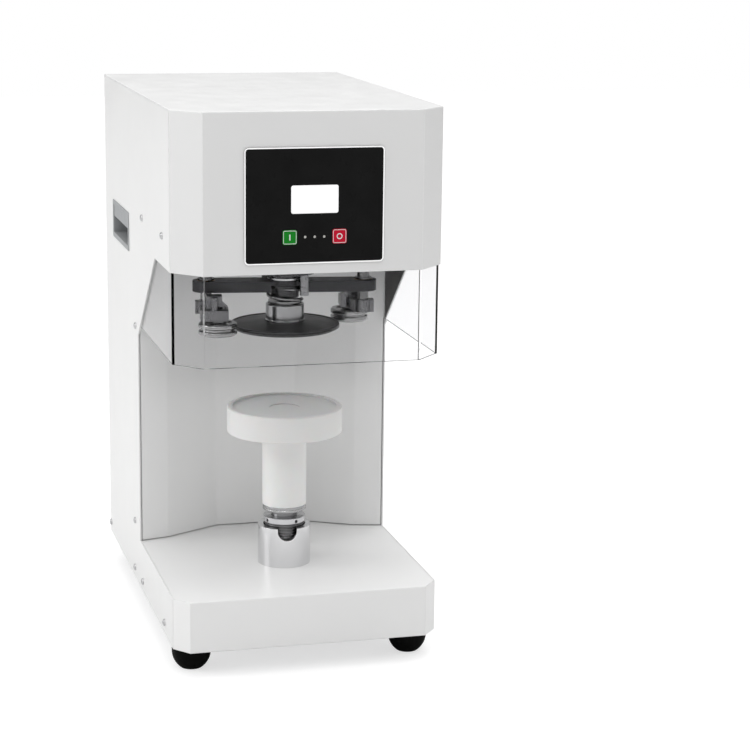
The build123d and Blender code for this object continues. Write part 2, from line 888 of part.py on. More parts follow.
with BuildPart() as switch_housing:
    with BuildSketch(front_plane(rear + inlet_flange)):
        with Locations((switch_x, inlet_z)):
            RectangleRounded(switch_width, switch_height, key_corner)
    extrude(amount=inlet_flange)
    with BuildSketch(front_plane(rear)):
        with Locations((switch_x, inlet_z)):
            Rectangle(switch_width - switch_wall, switch_height - switch_wall)
    extrude(amount=switch_depth)
    with BuildSketch(front_plane(rear + inlet_flange)):
        with Locations((switch_x, inlet_z)):
            Rectangle(switch_width - 2 * switch_wall, switch_height - 2 * switch_wall)
    extrude(amount=switch_depth - inlet_flange, mode=Mode.SUBTRACT)
    pivot_half = switch_width / 2 - switch_wall + rocker_pivot_reach
    with BuildSketch(side_plane(switch_x - pivot_half - touch_gap)):
        with Locations((rear - rocker_pivot_depth, inlet_z)):
            Circle(rocker_pivot_radius + running_fit)
    extrude(amount=2 * (pivot_half + touch_gap), mode=Mode.SUBTRACT)
switch_housing.part.label = "switch_housing"
export_step(switch_housing.part, "parts/switch_housing.step")

# Rocker on two round pivots: its lower face lies level with the housing, its upper face stands out
rocker_width = switch_width - 2 * switch_wall - 2 * touch_gap
rocker_reach = switch_height / 2 - switch_wall - rocker_end_gap
rocker_front = rear + inlet_flange
rocker_proud = rocker_reach * tan(radians(rocker_swing))
with BuildPart() as switch_rocker:
    with BuildSketch(side_plane(switch_x - rocker_width / 2)):
        with BuildLine():
            Polyline(
                (rocker_front, inlet_z),
                (rocker_front + rocker_proud, inlet_z + rocker_reach),
                (rocker_front - rocker_edge, inlet_z + rocker_reach),
                (rocker_front - rocker_depth, inlet_z),
                (rocker_front - rocker_edge, inlet_z - rocker_reach),
                (rocker_front, inlet_z - rocker_reach),
                close=True,
            )
        make_face()
    extrude(amount=rocker_width)
    with BuildSketch(side_plane(switch_x - pivot_half)):
        with Locations((rear - rocker_pivot_depth, inlet_z)):
            Circle(rocker_pivot_radius)
    extrude(amount=2 * pivot_half)
switch_rocker.part.label = "switch_rocker"
export_step(switch_rocker.part, "parts/switch_rocker.step")


def turned(sketch_plane, sections):
    """Round piece on the given level plane from (bottom, top, radius) sections."""
    with BuildPart() as piece:
        for bottom, top, radius in sections:
            with BuildSketch(sketch_plane(bottom)):
                Circle(radius)
            extrude(amount=top - bottom)
    return piece.part


# Bearing housing through the mechanism plate, with the two rotor bearings
with BuildPart() as bearing_housing:
    add(
        turned(
            axis_plane,
            [
                (housing_bottom, housing_top, housing_radius),
                (plate_top, plate_top + hub_flange, housing_flange_radius),
            ],
        )
    )
    with BuildSketch(axis_plane(housing_bottom)):
        Circle(bearing_outer)
    extrude(amount=housing_top - housing_bottom, mode=Mode.SUBTRACT)
bearing_housing.part.label = "bearing_housing"
export_step(bearing_housing.part, "parts/bearing_housing.step")

with BuildPart() as rotor_bearings:
    for bottom in (housing_bottom, housing_top - bearing_width):
        with BuildSketch(axis_plane(bottom)):
            Circle(bearing_outer)
            Circle(hub_radius + bush_fit, mode=Mode.SUBTRACT)
        extrude(amount=bearing_width)
rotor_bearings.part.label = "rotor_bearings"
export_step(rotor_bearings.part, "parts/rotor_bearings.step")

# Bridge over the pulley; the fixed spindle hangs from it through the hollow rotor
with BuildPart() as spindle_bridge:
    with BuildSketch(axis_plane(bridge_bottom)):
        SlotCenterToCenter(bridge_span, 4 * bridge_post_radius)
        Circle(spindle_radius - spindle_step, mode=Mode.SUBTRACT)
    extrude(amount=bridge_thickness)
    with BuildSketch(axis_plane(plate_top)):
        with GridLocations(bridge_span, 1, 2, 1):
            Circle(bridge_post_radius)
    extrude(amount=bridge_bottom - plate_top)
spindle_bridge.part.label = "spindle_bridge"
export_step(spindle_bridge.part, "parts/spindle_bridge.step")

spindle_end = collar_bottom - chuck_cone_rise + spindle_lift
with BuildPart() as centre_spindle:
    add(
        turned(
            axis_plane,
            [
                (spindle_end, bridge_bottom, spindle_radius),
                (spring_bottom + chuck_travel + sleeve_gap, spring_top, sleeve_radius),
                (spring_top, spring_top + seat_thickness, seat_radius),
                (bridge_bottom, spindle_top, spindle_radius - spindle_step),
            ],
        )
    )
    with BuildSketch(axis_plane(bridge_bottom + bridge_thickness)):
        RegularPolygon(spindle_radius + spindle_nut_margin, 6)
        Circle(spindle_radius - spindle_step, mode=Mode.SUBTRACT)
    extrude(amount=spindle_nut)
    with BuildSketch(axis_plane(spindle_end)):
        Circle(washer_radius)
    extrude(amount=-washer_thickness)
    with BuildSketch(axis_plane(spindle_end - washer_thickness)):
        Circle(spindle_radius - spindle_step / 2)
        RegularPolygon(spindle_radius / 2, 6, mode=Mode.SUBTRACT)
    extrude(amount=-washer_thickness)
centre_spindle.part.label = "centre_spindle"
export_step(centre_spindle.part, "parts/centre_spindle.step")

# Hollow rotor shaft with the flange that the beam and its drive posts hang from
with BuildPart() as rotor_hub:
    add(
        turned(
            axis_plane,
            [
                (boss_bottom, hub_top, hub_radius),
                (boss_top, boss_top + hub_ring, hub_ring_radius),
                (boss_top + hub_ring, flange_bottom, boss_radius),
                (flange_bottom, flange_top, hub_flange_radius),
            ],
        )
    )
    with BuildSketch(axis_plane(boss_bottom)):
        Circle(hub_bore)
    extrude(amount=hub_top - boss_bottom, mode=Mode.SUBTRACT)
rotor_hub.part.label = "rotor_hub"
export_step(rotor_hub.part, "parts/rotor_hub.step")


def belt_pulley(centre_plane, radius, bore):
    """Flanged pulley with a straight belt track."""
    with BuildPart() as pulley:
        with BuildSketch(centre_plane(pulley_bottom)):
            Circle(radius + belt_thickness)
        extrude(amount=pulley_width)
        track = (pulley_width - belt_width) / 2 - touch_gap
        with BuildSketch(centre_plane(pulley_bottom + track)):
            Circle(radius + 2 * belt_thickness)
            Circle(radius, mode=Mode.SUBTRACT)
        extrude(amount=pulley_width - 2 * track, mode=Mode.SUBTRACT)
        with BuildSketch(centre_plane(pulley_bottom)):
            Circle(bore)
        extrude(amount=pulley_width, mode=Mode.SUBTRACT)
    return pulley.part


def motor_plane(height):
    """Level plane on the drive motor's axis."""
    return Plane.XY.offset(height).move(Location((0, motor_y, 0)))


with BuildPart() as rotor_pulley:
    add(belt_pulley(axis_plane, rotor_pulley_radius, hub_radius))
    with BuildSketch(axis_plane(pulley_bottom)):
        with PolarLocations((rotor_pulley_radius + hub_radius) / 2, 6):
            Circle(hub_radius / 2)
    extrude(amount=pulley_width, mode=Mode.SUBTRACT)
rotor_pulley.part.label = "rotor_pulley"
export_step(rotor_pulley.part, "parts/rotor_pulley.step")

# Motor pulley on its shaft
with BuildPart() as motor_pulley:
    add(belt_pulley(motor_plane, motor_pulley_radius, motor_shaft_radius))
    with BuildSketch(motor_plane(plate_bottom + touch_gap)):
        Circle(motor_shaft_radius)
    extrude(amount=hub_top - plate_bottom)
motor_pulley.part.label = "motor_pulley"
export_step(motor_pulley.part, "parts/motor_pulley.step")

with BuildPart() as drive_motor:
    with BuildSketch(motor_plane(plate_bottom)):
        Circle(motor_radius)
    extrude(amount=-motor_height)
    motor_edges = drive_motor.edges().filter_by(GeomType.CIRCLE).group_by(Axis.Z)[0]
    chamfer(motor_edges, length=motor_chamfer)
drive_motor.part.label = "drive_motor"
export_step(drive_motor.part, "parts/drive_motor.step")

# Flat belt round both pulleys
with BuildPart() as drive_belt:
    for radius, mode in ((belt_thickness, Mode.ADD), (0.0, Mode.SUBTRACT)):
        with BuildSketch(Plane.XY.offset(pulley_bottom + (pulley_width - belt_width) / 2)):
            with BuildLine():
                CenterArc((0, axis_y), rotor_pulley_radius + touch_gap + radius, 0, 360)
                CenterArc((0, motor_y), motor_pulley_radius + touch_gap + radius, 0, 360)
            make_hull()
        extrude(amount=belt_width, mode=mode)
drive_belt.part.label = "drive_belt"
export_step(drive_belt.part, "parts/drive_belt.step")

# Rotor beam: flat bar with round ends, a central boss and a recess for the spring seat
with BuildPart() as rotor_beam:
    with BuildSketch(beam_plane(beam_bottom)):
        SlotCenterToCenter(2 * pivot_radius, beam_width)
    extrude(amount=beam_thickness)
    with BuildSketch(beam_plane(boss_bottom)):
        Circle(boss_radius)
    extrude(amount=boss_height)
    with BuildSketch(beam_plane(beam_bottom)):
        Circle(spring_coil_radius + spring_wire / 2 + running_clearance)
    extrude(amount=boss_bottom - beam_bottom, mode=Mode.SUBTRACT)
    with BuildSketch(beam_plane(beam_bottom)):
        Circle(hub_radius)
    extrude(amount=boss_top - beam_bottom, mode=Mode.SUBTRACT)
    with BuildSketch(beam_plane(beam_bottom)):
        with GridLocations(2 * pivot_radius, 1, 2, 1):
            Circle(shaft_radius + bush_wall)
    extrude(amount=beam_thickness, mode=Mode.SUBTRACT)
rotor_beam.part.label = "rotor_beam"
export_step(rotor_beam.part, "parts/rotor_beam.step")

# Two posts that hang from the hub flange and key the beam to it
with BuildPart() as drive_posts:
    for turn in (0, 180):
        with BuildSketch(beam_plane(post_bottom, turn)):
            with Locations((post_start + post_width / 2, -(beam_width + post_depth) / 2)):
                RectangleRounded(post_width, post_depth, post_corner)
        extrude(amount=flange_bottom - post_bottom)
drive_posts.part.label = "drive_posts"
export_step(drive_posts.part, "parts/drive_posts.step")

with BuildPart() as pivot_bushes:
    with BuildSketch(beam_plane(beam_bottom)):
        with GridLocations(2 * pivot_radius, 1, 2, 1):
            Circle(shaft_radius + bush_wall)
            Circle(shaft_radius + bush_fit, mode=Mode.SUBTRACT)
    extrude(amount=beam_thickness)
pivot_bushes.part.label = "pivot_bushes"
export_step(pivot_bushes.part, "parts/pivot_bushes.step")

# Places that follow from the lever: both followers leave the axis as the rollers near it
arm_swing = roller_travel / (pivot_radius * sin(roller_angle))
lever_angle = acos(
    (pivot_radius**2 + follower_orbit**2 - lever_length**2) / (2 * pivot_radius * follower_orbit)
)
follower_x = follower_orbit * cos(lever_angle)
follower_y = -follower_orbit * sin(lever_angle)
follower_bottom = lever_bottom + lever_thickness + touch_gap
follower_mid = follower_bottom + follower_height / 2
cone_slope = arm_swing * pivot_radius * sin(lever_angle) / cone_travel
cone_mid_radius = follower_orbit - (follower_radius + touch_gap) * hypot(1.0, cone_slope)
cone_small_radius = cone_mid_radius - cone_lead * cone_slope
cone_large_radius = cone_mid_radius + cone_rise * cone_slope
cone_start = follower_mid - cone_lead
cone_end = follower_mid + cone_rise
groove_bottom = cone_end + cone_land
groove_radius = cone_large_radius - groove_depth
cone_top = groove_bottom + groove_height + cone_crown


def revolved(points):
    """Round piece on the seaming axis from its half section of (radius, height) points."""
    with BuildPart() as piece:
        with BuildSketch(Plane(origin=(0, axis_y, 0), x_dir=(1, 0, 0), z_dir=(0, -1, 0))):
            with BuildLine():
                Polyline(*points, close=True)
            make_face()
        revolve(axis=Axis((0, axis_y, 0), (0, 0, 1)))
    return piece.part


# Cam cone that slides on the rotor shaft
with BuildPart() as cam_cone:
    add(
        revolved(
            [
                (hub_radius + bush_fit, cone_start - cone_skirt),
                (cone_small_radius, cone_start - cone_skirt),
                (cone_small_radius, cone_start),
                (cone_large_radius, cone_end),
                (cone_large_radius, groove_bottom),
                (groove_radius, groove_bottom),
                (groove_radius, groove_bottom + groove_height),
                (cone_large_radius, groove_bottom + groove_height),
                (cone_large_radius, cone_top),
                (hub_radius + bush_fit, cone_top),
            ]
        )
    )
cam_cone.part.label = "cam_cone"
export_step(cam_cone.part, "parts/cam_cone.step")

# Fork that holds the cone by its groove and runs on an upright screw
fork_bottom = groove_bottom + (groove_height - fork_thickness) / 2
fork_inner = groove_radius + touch_gap
fork_outer = cone_large_radius + cone_crown
with BuildPart() as cam_fork:
    with BuildSketch(axis_plane(fork_bottom)):
        Circle(fork_outer)
        with Locations((0, fork_reach / 2)):
            Rectangle(fork_width, fork_reach)
        with Locations((0, fork_reach)):
            Circle(fork_width / 2)
        Circle(fork_inner, mode=Mode.SUBTRACT)
        with Locations((0, -fork_outer / 2)):
            Rectangle(2 * fork_inner, fork_outer, mode=Mode.SUBTRACT)
    extrude(amount=fork_thickness)
    with BuildSketch(axis_plane(fork_bottom - fork_nut_drop)):
        with Locations((0, fork_reach)):
            Circle(fork_nut_radius)
    extrude(amount=2 * fork_nut_drop + fork_thickness)
    with BuildSketch(axis_plane(fork_bottom - fork_nut_drop)):
        with Locations((0, fork_reach)):
            Circle(fork_screw_radius + running_fit)
    extrude(amount=2 * fork_nut_drop + fork_thickness, mode=Mode.SUBTRACT)
cam_fork.part.label = "cam_fork"
export_step(cam_fork.part, "parts/cam_fork.step")

with BuildPart() as fork_screw:
    with BuildSketch(axis_plane(fork_screw_bottom)):
        with Locations((0, fork_reach)):
            Circle(fork_screw_radius)
    extrude(amount=plate_top - touch_gap - fork_screw_bottom)
fork_screw.part.label = "fork_screw"
export_step(fork_screw.part, "parts/fork_screw.step")

with BuildPart() as fork_motor:
    with BuildSketch(axis_plane(plate_top)):
        with Locations((0, fork_reach)):
            Circle(fork_motor_radius)
    extrude(amount=fork_motor_height)
fork_motor.part.label = "fork_motor"
export_step(fork_motor.part, "parts/fork_motor.step")

# One seaming arm on each end of the beam, turned half round from the other
pivot_place = (pivot_radius, 0)
roller_place = (roller_x, roller_y)
follower_place = (follower_x, follower_y)
roller_top = roller_bottom + roller_height
lever_top = lever_bottom + lever_thickness
lever_hub_top = lever_top + lever_hub_rise
tower_top = arm_top + holder_tower_height
holder_x = roller_x + holder_offset
holder_back = roller_y - holder_depth / 2
stud_y = holder_back + holder_tower_depth + (holder_depth - holder_tower_depth) / 2


def pivot_shaft(turn):
    """Shaft that turns in the beam; a collar carries it on the beam's top face."""
    steps = [
        (arm_bottom, beam_bottom, shaft_neck_radius),
        (beam_bottom, lever_hub_top, shaft_radius),
        (beam_top + touch_gap, beam_top + touch_gap + shaft_collar, shaft_radius + shaft_collar),
    ]
    with BuildPart() as shaft:
        for bottom, top, radius in steps:
            with BuildSketch(beam_plane(bottom, turn)):
                with Locations(pivot_place):
                    Circle(radius)
            extrude(amount=top - bottom)
    return shaft.part


def roller_arm(turn):
    """Arm clamped on the shaft: barrel with a split ear, link, roller holder and its tower."""
    link_angle = degrees(atan((roller_place[1]) / (roller_place[0] - pivot_place[0]))) + 180.0
    middle = ((pivot_place[0] + roller_place[0]) / 2, (pivot_place[1] + roller_place[1]) / 2)
    level = beam_plane(0, turn)
    with BuildPart() as arm:
        with BuildSketch(beam_plane(arm_bottom, turn)):
            with Locations(pivot_place):
                Circle(arm_barrel_radius)
            with Locations(Location((*middle, 0), (0, 0, link_angle))):
                SlotCenterToCenter(arm_length, arm_link_width)
            with Locations((holder_x, roller_y)):
                Rectangle(holder_width, holder_depth)
        extrude(amount=arm_thickness)
        holder_edges = arm.edges().filter_by(Axis.Z).sort_by_distance(
            level.from_local_coords((holder_x + holder_width, roller_y + holder_depth, arm_top))
        )
        chamfer(holder_edges[0], length=holder_chamfer)
        # Ear of the clamp and the raised barrel
        with BuildSketch(beam_plane(arm_bottom, turn)):
            with Locations((pivot_radius + ear_reach / 2, 0)):
                Rectangle(ear_reach, ear_width)
        extrude(amount=arm_thickness + ear_rise)
        with BuildSketch(beam_plane(arm_bottom, turn)):
            with Locations(pivot_place):
                Circle(arm_barrel_radius)
        extrude(amount=arm_thickness + ear_rise)
        side_view = Plane(
            origin=level.from_local_coords((0, holder_back, 0)), x_dir=level.x_dir, z_dir=-level.y_dir
        )
        with BuildSketch(side_view):
            with BuildLine():
                Polyline(
                    (holder_x + holder_tower_width / 2, arm_top),
                    (holder_x + holder_tower_width / 2, tower_top),
                    (holder_x - holder_tower_width / 2, tower_top),
                    (holder_x - holder_tower_width / 2, arm_top + holder_tower_height / 2),
                    (holder_x - holder_width / 2, arm_top + holder_shoulder),
                    (holder_x - holder_width / 2, arm_top),
                    close=True,
                )
            make_face()
        extrude(amount=-holder_tower_depth)
        with BuildSketch(beam_plane(arm_bottom, turn)):
            with Locations(pivot_place):
                Circle(shaft_neck_radius)
            with Locations(roller_place):
                Circle(roller_pin_radius)
        extrude(amount=arm_thickness + ear_rise, mode=Mode.SUBTRACT)
        with BuildSketch(beam_plane(arm_bottom, turn)):
            with Locations((pivot_radius + ear_reach, 0)):
                Rectangle(2 * ear_reach, ear_slit)
        extrude(amount=arm_thickness + ear_rise, mode=Mode.SUBTRACT)
        with BuildSketch(beam_plane(arm_top, turn)):
            with Locations((holder_x, stud_y)):
                Circle(clamp_pin_radius)
        extrude(amount=holder_tower_height - clamp_pin_drop)
    return arm.part


def roller_pin(turn):
    """Pin with a flat head below the roller and a hex nut between roller and arm."""
    with BuildPart() as pin:
        with BuildSketch(beam_plane(roller_bottom - touch_gap, turn)):
            with Locations(roller_place):
                Circle(roller_pin_radius + pin_head_margin)
        extrude(amount=-pin_head)
        with BuildSketch(beam_plane(roller_bottom - touch_gap, turn)):
            with Locations(roller_place):
                Circle(roller_pin_radius)
        extrude(amount=arm_top - roller_bottom + touch_gap)
        with BuildSketch(beam_plane(roller_top + touch_gap, turn)):
            with Locations(roller_place):
                RegularPolygon(roller_pin_radius + pin_nut_margin, 6)
        extrude(amount=arm_bottom - roller_top - touch_gap)
    return pin.part


def seaming_roller(turn, groove):
    """Hardened roller with its seaming groove and a dished top."""
    middle = roller_bottom + roller_height / 2
    centre = beam_plane(0, turn).from_local_coords((*roller_place, 0))
    edge = roller_edge
    with BuildPart() as roller:
        with BuildSketch(Plane(origin=centre, x_dir=(1, 0, 0), z_dir=(0, -1, 0))):
            with BuildLine():
                Polyline(
                    (roller_pin_radius + running_fit, roller_bottom),
                    (roller_radius - edge, roller_bottom),
                    (roller_radius, roller_bottom + edge),
                    (roller_radius, middle - groove),
                    (roller_radius - groove, middle - groove / 3),
                    (roller_radius - groove, middle + groove / 3),
                    (roller_radius, middle + groove),
                    (roller_radius, roller_top - edge),
                    (roller_radius - edge, roller_top),
                    (roller_radius - 4 * edge, roller_top),
                    (roller_radius - 5 * edge, roller_top - edge),
                    (roller_pin_radius + 3 * edge, roller_top - edge),
                    (roller_pin_radius + 2 * edge, roller_top),
                    (roller_pin_radius + running_fit, roller_top),
                    close=True,
                )
            make_face()
        revolve(axis=Axis(centre, (0, 0, 1)))
    return roller.part


def cam_lever(turn):
    """Lever on top of the shaft, its crowned follower standing on it against the cone."""
    middle = ((pivot_place[0] + follower_x) / 2, (pivot_place[1] + follower_y) / 2)
    lever_turn = degrees(atan((follower_y - pivot_place[1]) / (follower_x - pivot_place[0])))
    centre = beam_plane(0, turn).from_local_coords((*follower_place, 0))
    half = follower_height / 2
    waist = (follower_radius**2 - half**2) ** 0.5
    with BuildPart() as lever:
        with BuildSketch(beam_plane(lever_bottom, turn)):
            with Locations(Location((*middle, 0), (0, 0, lever_turn))):
                SlotCenterToCenter(lever_length, lever_width)
            with Locations(pivot_place):
                Circle(lever_hub_radius)
        extrude(amount=lever_thickness)
        with BuildSketch(beam_plane(lever_bottom, turn)):
            with Locations(pivot_place):
                Circle(lever_hub_radius)
        extrude(amount=lever_hub_top - lever_bottom)
        with BuildSketch(beam_plane(lever_bottom, turn)):
            with Locations(pivot_place):
                Circle(shaft_radius)
        extrude(amount=lever_hub_top - lever_bottom, mode=Mode.SUBTRACT)
        with BuildSketch(Plane(origin=centre, x_dir=(1, 0, 0), z_dir=(0, -1, 0))):
            with BuildLine():
                Polyline(
                    (waist, follower_mid + half),
                    (follower_pin_radius, follower_mid + half),
                    (follower_pin_radius, follower_mid + half + follower_pin_head),
                    (0, follower_mid + half + follower_pin_head),
                    (0, lever_top),
                    (follower_pin_radius + follower_shoulder, lever_top),
                    (follower_pin_radius + follower_shoulder, follower_bottom),
                    (waist, follower_bottom),
                )
                ThreePointArc(
                    (waist, follower_bottom),
                    (follower_radius, follower_mid),
                    (waist, follower_mid + half),
                )
            make_face()
        revolve(axis=Axis(centre, (0, 0, 1)))
    return lever.part


for letter, turn, groove in (("a", 180, groove_of_first), ("b", 0, groove_of_second)):
    arm_pieces = {
        "pivot_shaft_" + letter: pivot_shaft(turn),
        "roller_arm_" + letter: roller_arm(turn),
        "roller_pin_" + letter: roller_pin(turn),
        "seaming_roller_" + letter: seaming_roller(turn, groove),
        "cam_lever_" + letter: cam_lever(turn),
    }
    for name, piece in arm_pieces.items():
        piece.label = name
        export_step(piece, "parts/" + name + ".step")

# Chuck: dished disc with a low lip, screwed under a bright collar
chuck_disc = revolved(
    [
        (spindle_radius + running_fit, spindle_end + touch_gap),
        (washer_radius + washer_margin, spindle_end + touch_gap),
        (washer_radius + washer_margin, chuck_rim_bottom - chuck_plug),
        (chuck_plug_radius, chuck_rim_bottom - chuck_plug),
        (chuck_plug_radius, chuck_rim_bottom),
        (chuck_radius, chuck_rim_bottom),
        (chuck_radius, chuck_rim_bottom + chuck_rim - chuck_edge),
        (chuck_radius - chuck_edge, chuck_rim_bottom + chuck_rim),
        (chuck_radius - 3 * chuck_edge, chuck_rim_bottom + chuck_rim),
        (chuck_radius - 4 * chuck_edge, chuck_rim_bottom + chuck_rim - chuck_edge),
        (chuck_hub_radius, collar_bottom),
        (spindle_radius + running_fit, collar_bottom),
    ]
)
chuck_disc.label = "chuck_disc"
export_step(chuck_disc, "parts/chuck_disc.step")

neck_radius = seat_radius - neck_inset
chuck_collar = revolved(
    [
        (spindle_radius + running_fit, collar_bottom),
        (collar_foot_radius, collar_bottom),
        (collar_foot_radius, collar_bottom + collar_foot),
        (collar_radius, collar_bottom + collar_foot + chuck_edge / 2),
        (collar_radius, collar_top - chuck_edge),
        (collar_radius - chuck_edge, collar_top),
        (collar_radius - collar_rim, collar_top),
        (collar_radius - collar_rim - chuck_edge / 2, collar_top - collar_dish),
        (neck_radius, collar_top - collar_dish),
        (neck_radius, collar_top + spring_neck),
        (seat_radius, collar_top + spring_neck),
        (seat_radius, spring_bottom),
        (spindle_radius + running_fit, spring_bottom),
    ]
)
chuck_collar.label = "chuck_collar"
export_step(chuck_collar, "parts/chuck_collar.step")

# Coil spring between the chuck collar and the spindle's seat, both ends ground flat
spring_angle = radians(spring_start)
with BuildPart() as chuck_spring:
    spring_plane = Plane(
        origin=(0, axis_y, spring_bottom), x_dir=(cos(spring_angle), sin(spring_angle), 0), z_dir=(0, 0, 1)
    )
    with BuildLine(spring_plane) as coil:
        Helix(spring_pitch, spring_length, spring_coil_radius, lefthand=True)
    with BuildSketch(Plane(origin=coil.line @ 0, z_dir=coil.line % 0)):
        Circle(spring_wire / 2)
    sweep(path=coil.line)
    with BuildSketch(axis_plane(spring_bottom)):
        Circle(spring_coil_radius + spring_wire)
    extrude(amount=spring_length, mode=Mode.INTERSECT)
chuck_spring.part.label = "chuck_spring"
export_step(chuck_spring.part, "parts/chuck_spring.step")

# Guide collar of the lift, with the notch that gives the spanner its way in
with BuildPart() as guide_collar:
    add(
        turned(
            axis_plane,
            [(base_top - guide_spigot, base_top, guide_spigot_radius), (base_top, guide_top, guide_radius)],
        )
    )
    with BuildSketch(axis_plane(base_top - guide_spigot)):
        Circle(lift_radius + running_fit)
    extrude(amount=guide_top, mode=Mode.SUBTRACT)
    with BuildSketch(axis_plane(ring_bottom - touch_gap)):
        Circle(ring_radius + touch_gap)
    extrude(amount=guide_top, mode=Mode.SUBTRACT)
    notch_angle = radians(notch_turn)
    notch_plane = Plane(
        origin=(0, axis_y, 0),
        x_dir=(cos(notch_angle), sin(notch_angle), 0),
        z_dir=(sin(notch_angle), -cos(notch_angle), 0),
    )
    with BuildSketch(notch_plane):
        with Locations((0, guide_top - notch_depth + notch_width / 2)):
            Circle(notch_width / 2)
        with Locations((0, guide_top + notch_width / 2 - notch_depth + notch_width / 2)):
            Rectangle(notch_width, notch_width)
    extrude(amount=guide_radius, mode=Mode.SUBTRACT)
guide_collar.part.label = "guide_collar"
export_step(guide_collar.part, "parts/guide_collar.step")

# Adjusting ring: band with radial spanner holes, a waist and a foot, and the threaded stem below
band_bottom = ring_top - ring_band
foot_bottom = band_bottom - 2 * ring_foot
with BuildPart() as adjusting_ring:
    add(
        turned(
            axis_plane,
            [
                (ring_bottom, foot_bottom, ring_thread_radius),
                (foot_bottom, foot_bottom + ring_foot, ring_radius - ring_foot / 2),
                (foot_bottom + ring_foot, band_bottom, ring_waist_radius),
                (band_bottom, ring_top, ring_radius),
            ],
        )
    )
    thread_count = int((foot_bottom - ring_bottom) / ring_thread_pitch)
    for step in range(thread_count):
        with BuildSketch(axis_plane(ring_bottom + ring_thread_pitch * (step + 0.5))):
            Circle(ring_radius)
            Circle(ring_thread_radius - ring_thread_depth, mode=Mode.SUBTRACT)
        extrude(amount=ring_thread_pitch / 2, mode=Mode.SUBTRACT)
    with BuildSketch(axis_plane(ring_bottom)):
        Circle(lift_radius + running_fit)
    extrude(amount=ring_top - ring_bottom, mode=Mode.SUBTRACT)
    for turn in (ring_hole_turn, ring_hole_turn + 90.0):
        spanner_way = Plane(
            origin=(0, axis_y, ring_top - ring_hole_drop),
            x_dir=(0, 0, 1),
            z_dir=(cos(radians(turn)), sin(radians(turn)), 0),
        )
        with BuildSketch(spanner_way):
            Circle(ring_hole_radius)
        extrude(amount=ring_radius, both=True, mode=Mode.SUBTRACT)
adjusting_ring.part.label = "adjusting_ring"
export_step(adjusting_ring.part, "parts/adjusting_ring.step")

# Hollow lift spindle: a nut at its foot, clearance round the screw above it
lift_top = ring_top + lift_neck
with BuildPart() as lift_spindle:
    with BuildSketch(axis_plane(lift_bottom)):
        Circle(lift_radius)
    extrude(amount=lift_top - lift_bottom)
    with BuildSketch(axis_plane(lift_bottom)):
        Circle(lift_screw_radius + running_fit)
    extrude(amount=lift_radius, mode=Mode.SUBTRACT)
    with BuildSketch(axis_plane(lift_bottom + lift_radius)):
        Circle(lift_bore)
    extrude(amount=lift_top - lift_neck - lift_bottom - lift_radius, mode=Mode.SUBTRACT)
lift_spindle.part.label = "lift_spindle"
export_step(lift_spindle.part, "parts/lift_spindle.step")

with BuildPart() as post_flange:
    with BuildSketch(axis_plane(lift_top)):
        Circle(flange_radius)
    extrude(amount=flange_height)
    chamfer(post_flange.edges().group_by(Axis.Z)[0], length=flange_chamfer)
    with BuildSketch(axis_plane(lift_top + (flange_height - flange_groove) / 2)):
        Circle(flange_radius)
        Circle(flange_radius - flange_groove, mode=Mode.SUBTRACT)
    extrude(amount=flange_groove, mode=Mode.SUBTRACT)
post_flange.part.label = "post_flange"
export_step(post_flange.part, "parts/post_flange.step")

post_bottom_height = lift_top + flange_height
tray_bottom = post_bottom_height + post_height
with BuildPart() as tray_post:
    add(
        turned(
            axis_plane,
            [
                (post_bottom_height, tray_bottom, post_radius),
                (tray_bottom, tray_bottom + tray_stub, tray_stub_radius),
            ],
        )
    )
tray_post.part.label = "tray_post"
export_step(tray_post.part, "parts/tray_post.step")

tray_top = tray_bottom + tray_height
with BuildPart() as can_tray:
    with BuildSketch(axis_plane(tray_bottom)):
        Circle(tray_radius)
    extrude(amount=tray_height)
    fillet(can_tray.edges().filter_by(GeomType.CIRCLE), radius=tray_edge)
    with BuildSketch(axis_plane(tray_top)):
        Circle(tray_radius - tray_rim)
    extrude(amount=-tray_recess, mode=Mode.SUBTRACT)
    with BuildSketch(axis_plane(tray_top)):
        Circle(tray_boss_radius)
    extrude(amount=-(tray_recess + tray_boss_depth), mode=Mode.SUBTRACT)
    with BuildSketch(axis_plane(tray_bottom)):
        Circle(tray_stub_radius)
    extrude(amount=tray_stub, mode=Mode.SUBTRACT)
can_tray.part.label = "can_tray"
export_step(can_tray.part, "parts/can_tray.step")

# Lift screw and its geared motor on the bottom plate
lift_motor_top = floor_top + lift_motor_height
with BuildPart() as lift_screw:
    with BuildSketch(axis_plane(lift_motor_top + touch_gap)):
        Circle(lift_screw_radius)
    extrude(amount=lift_top - lift_neck - lift_screw_end_gap - lift_motor_top)
lift_screw.part.label = "lift_screw"
export_step(lift_screw.part, "parts/lift_screw.step")

with BuildPart() as lift_motor:
    with BuildSketch(axis_plane(floor_top)):
        RectangleRounded(lift_motor_side, lift_motor_side, lift_motor_corner)
    extrude(amount=lift_motor_height)
lift_motor.part.label = "lift_motor"
export_step(lift_motor.part, "parts/lift_motor.step")
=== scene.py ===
import math

import bpy
import numpy as np
from mathutils import Matrix, Vector


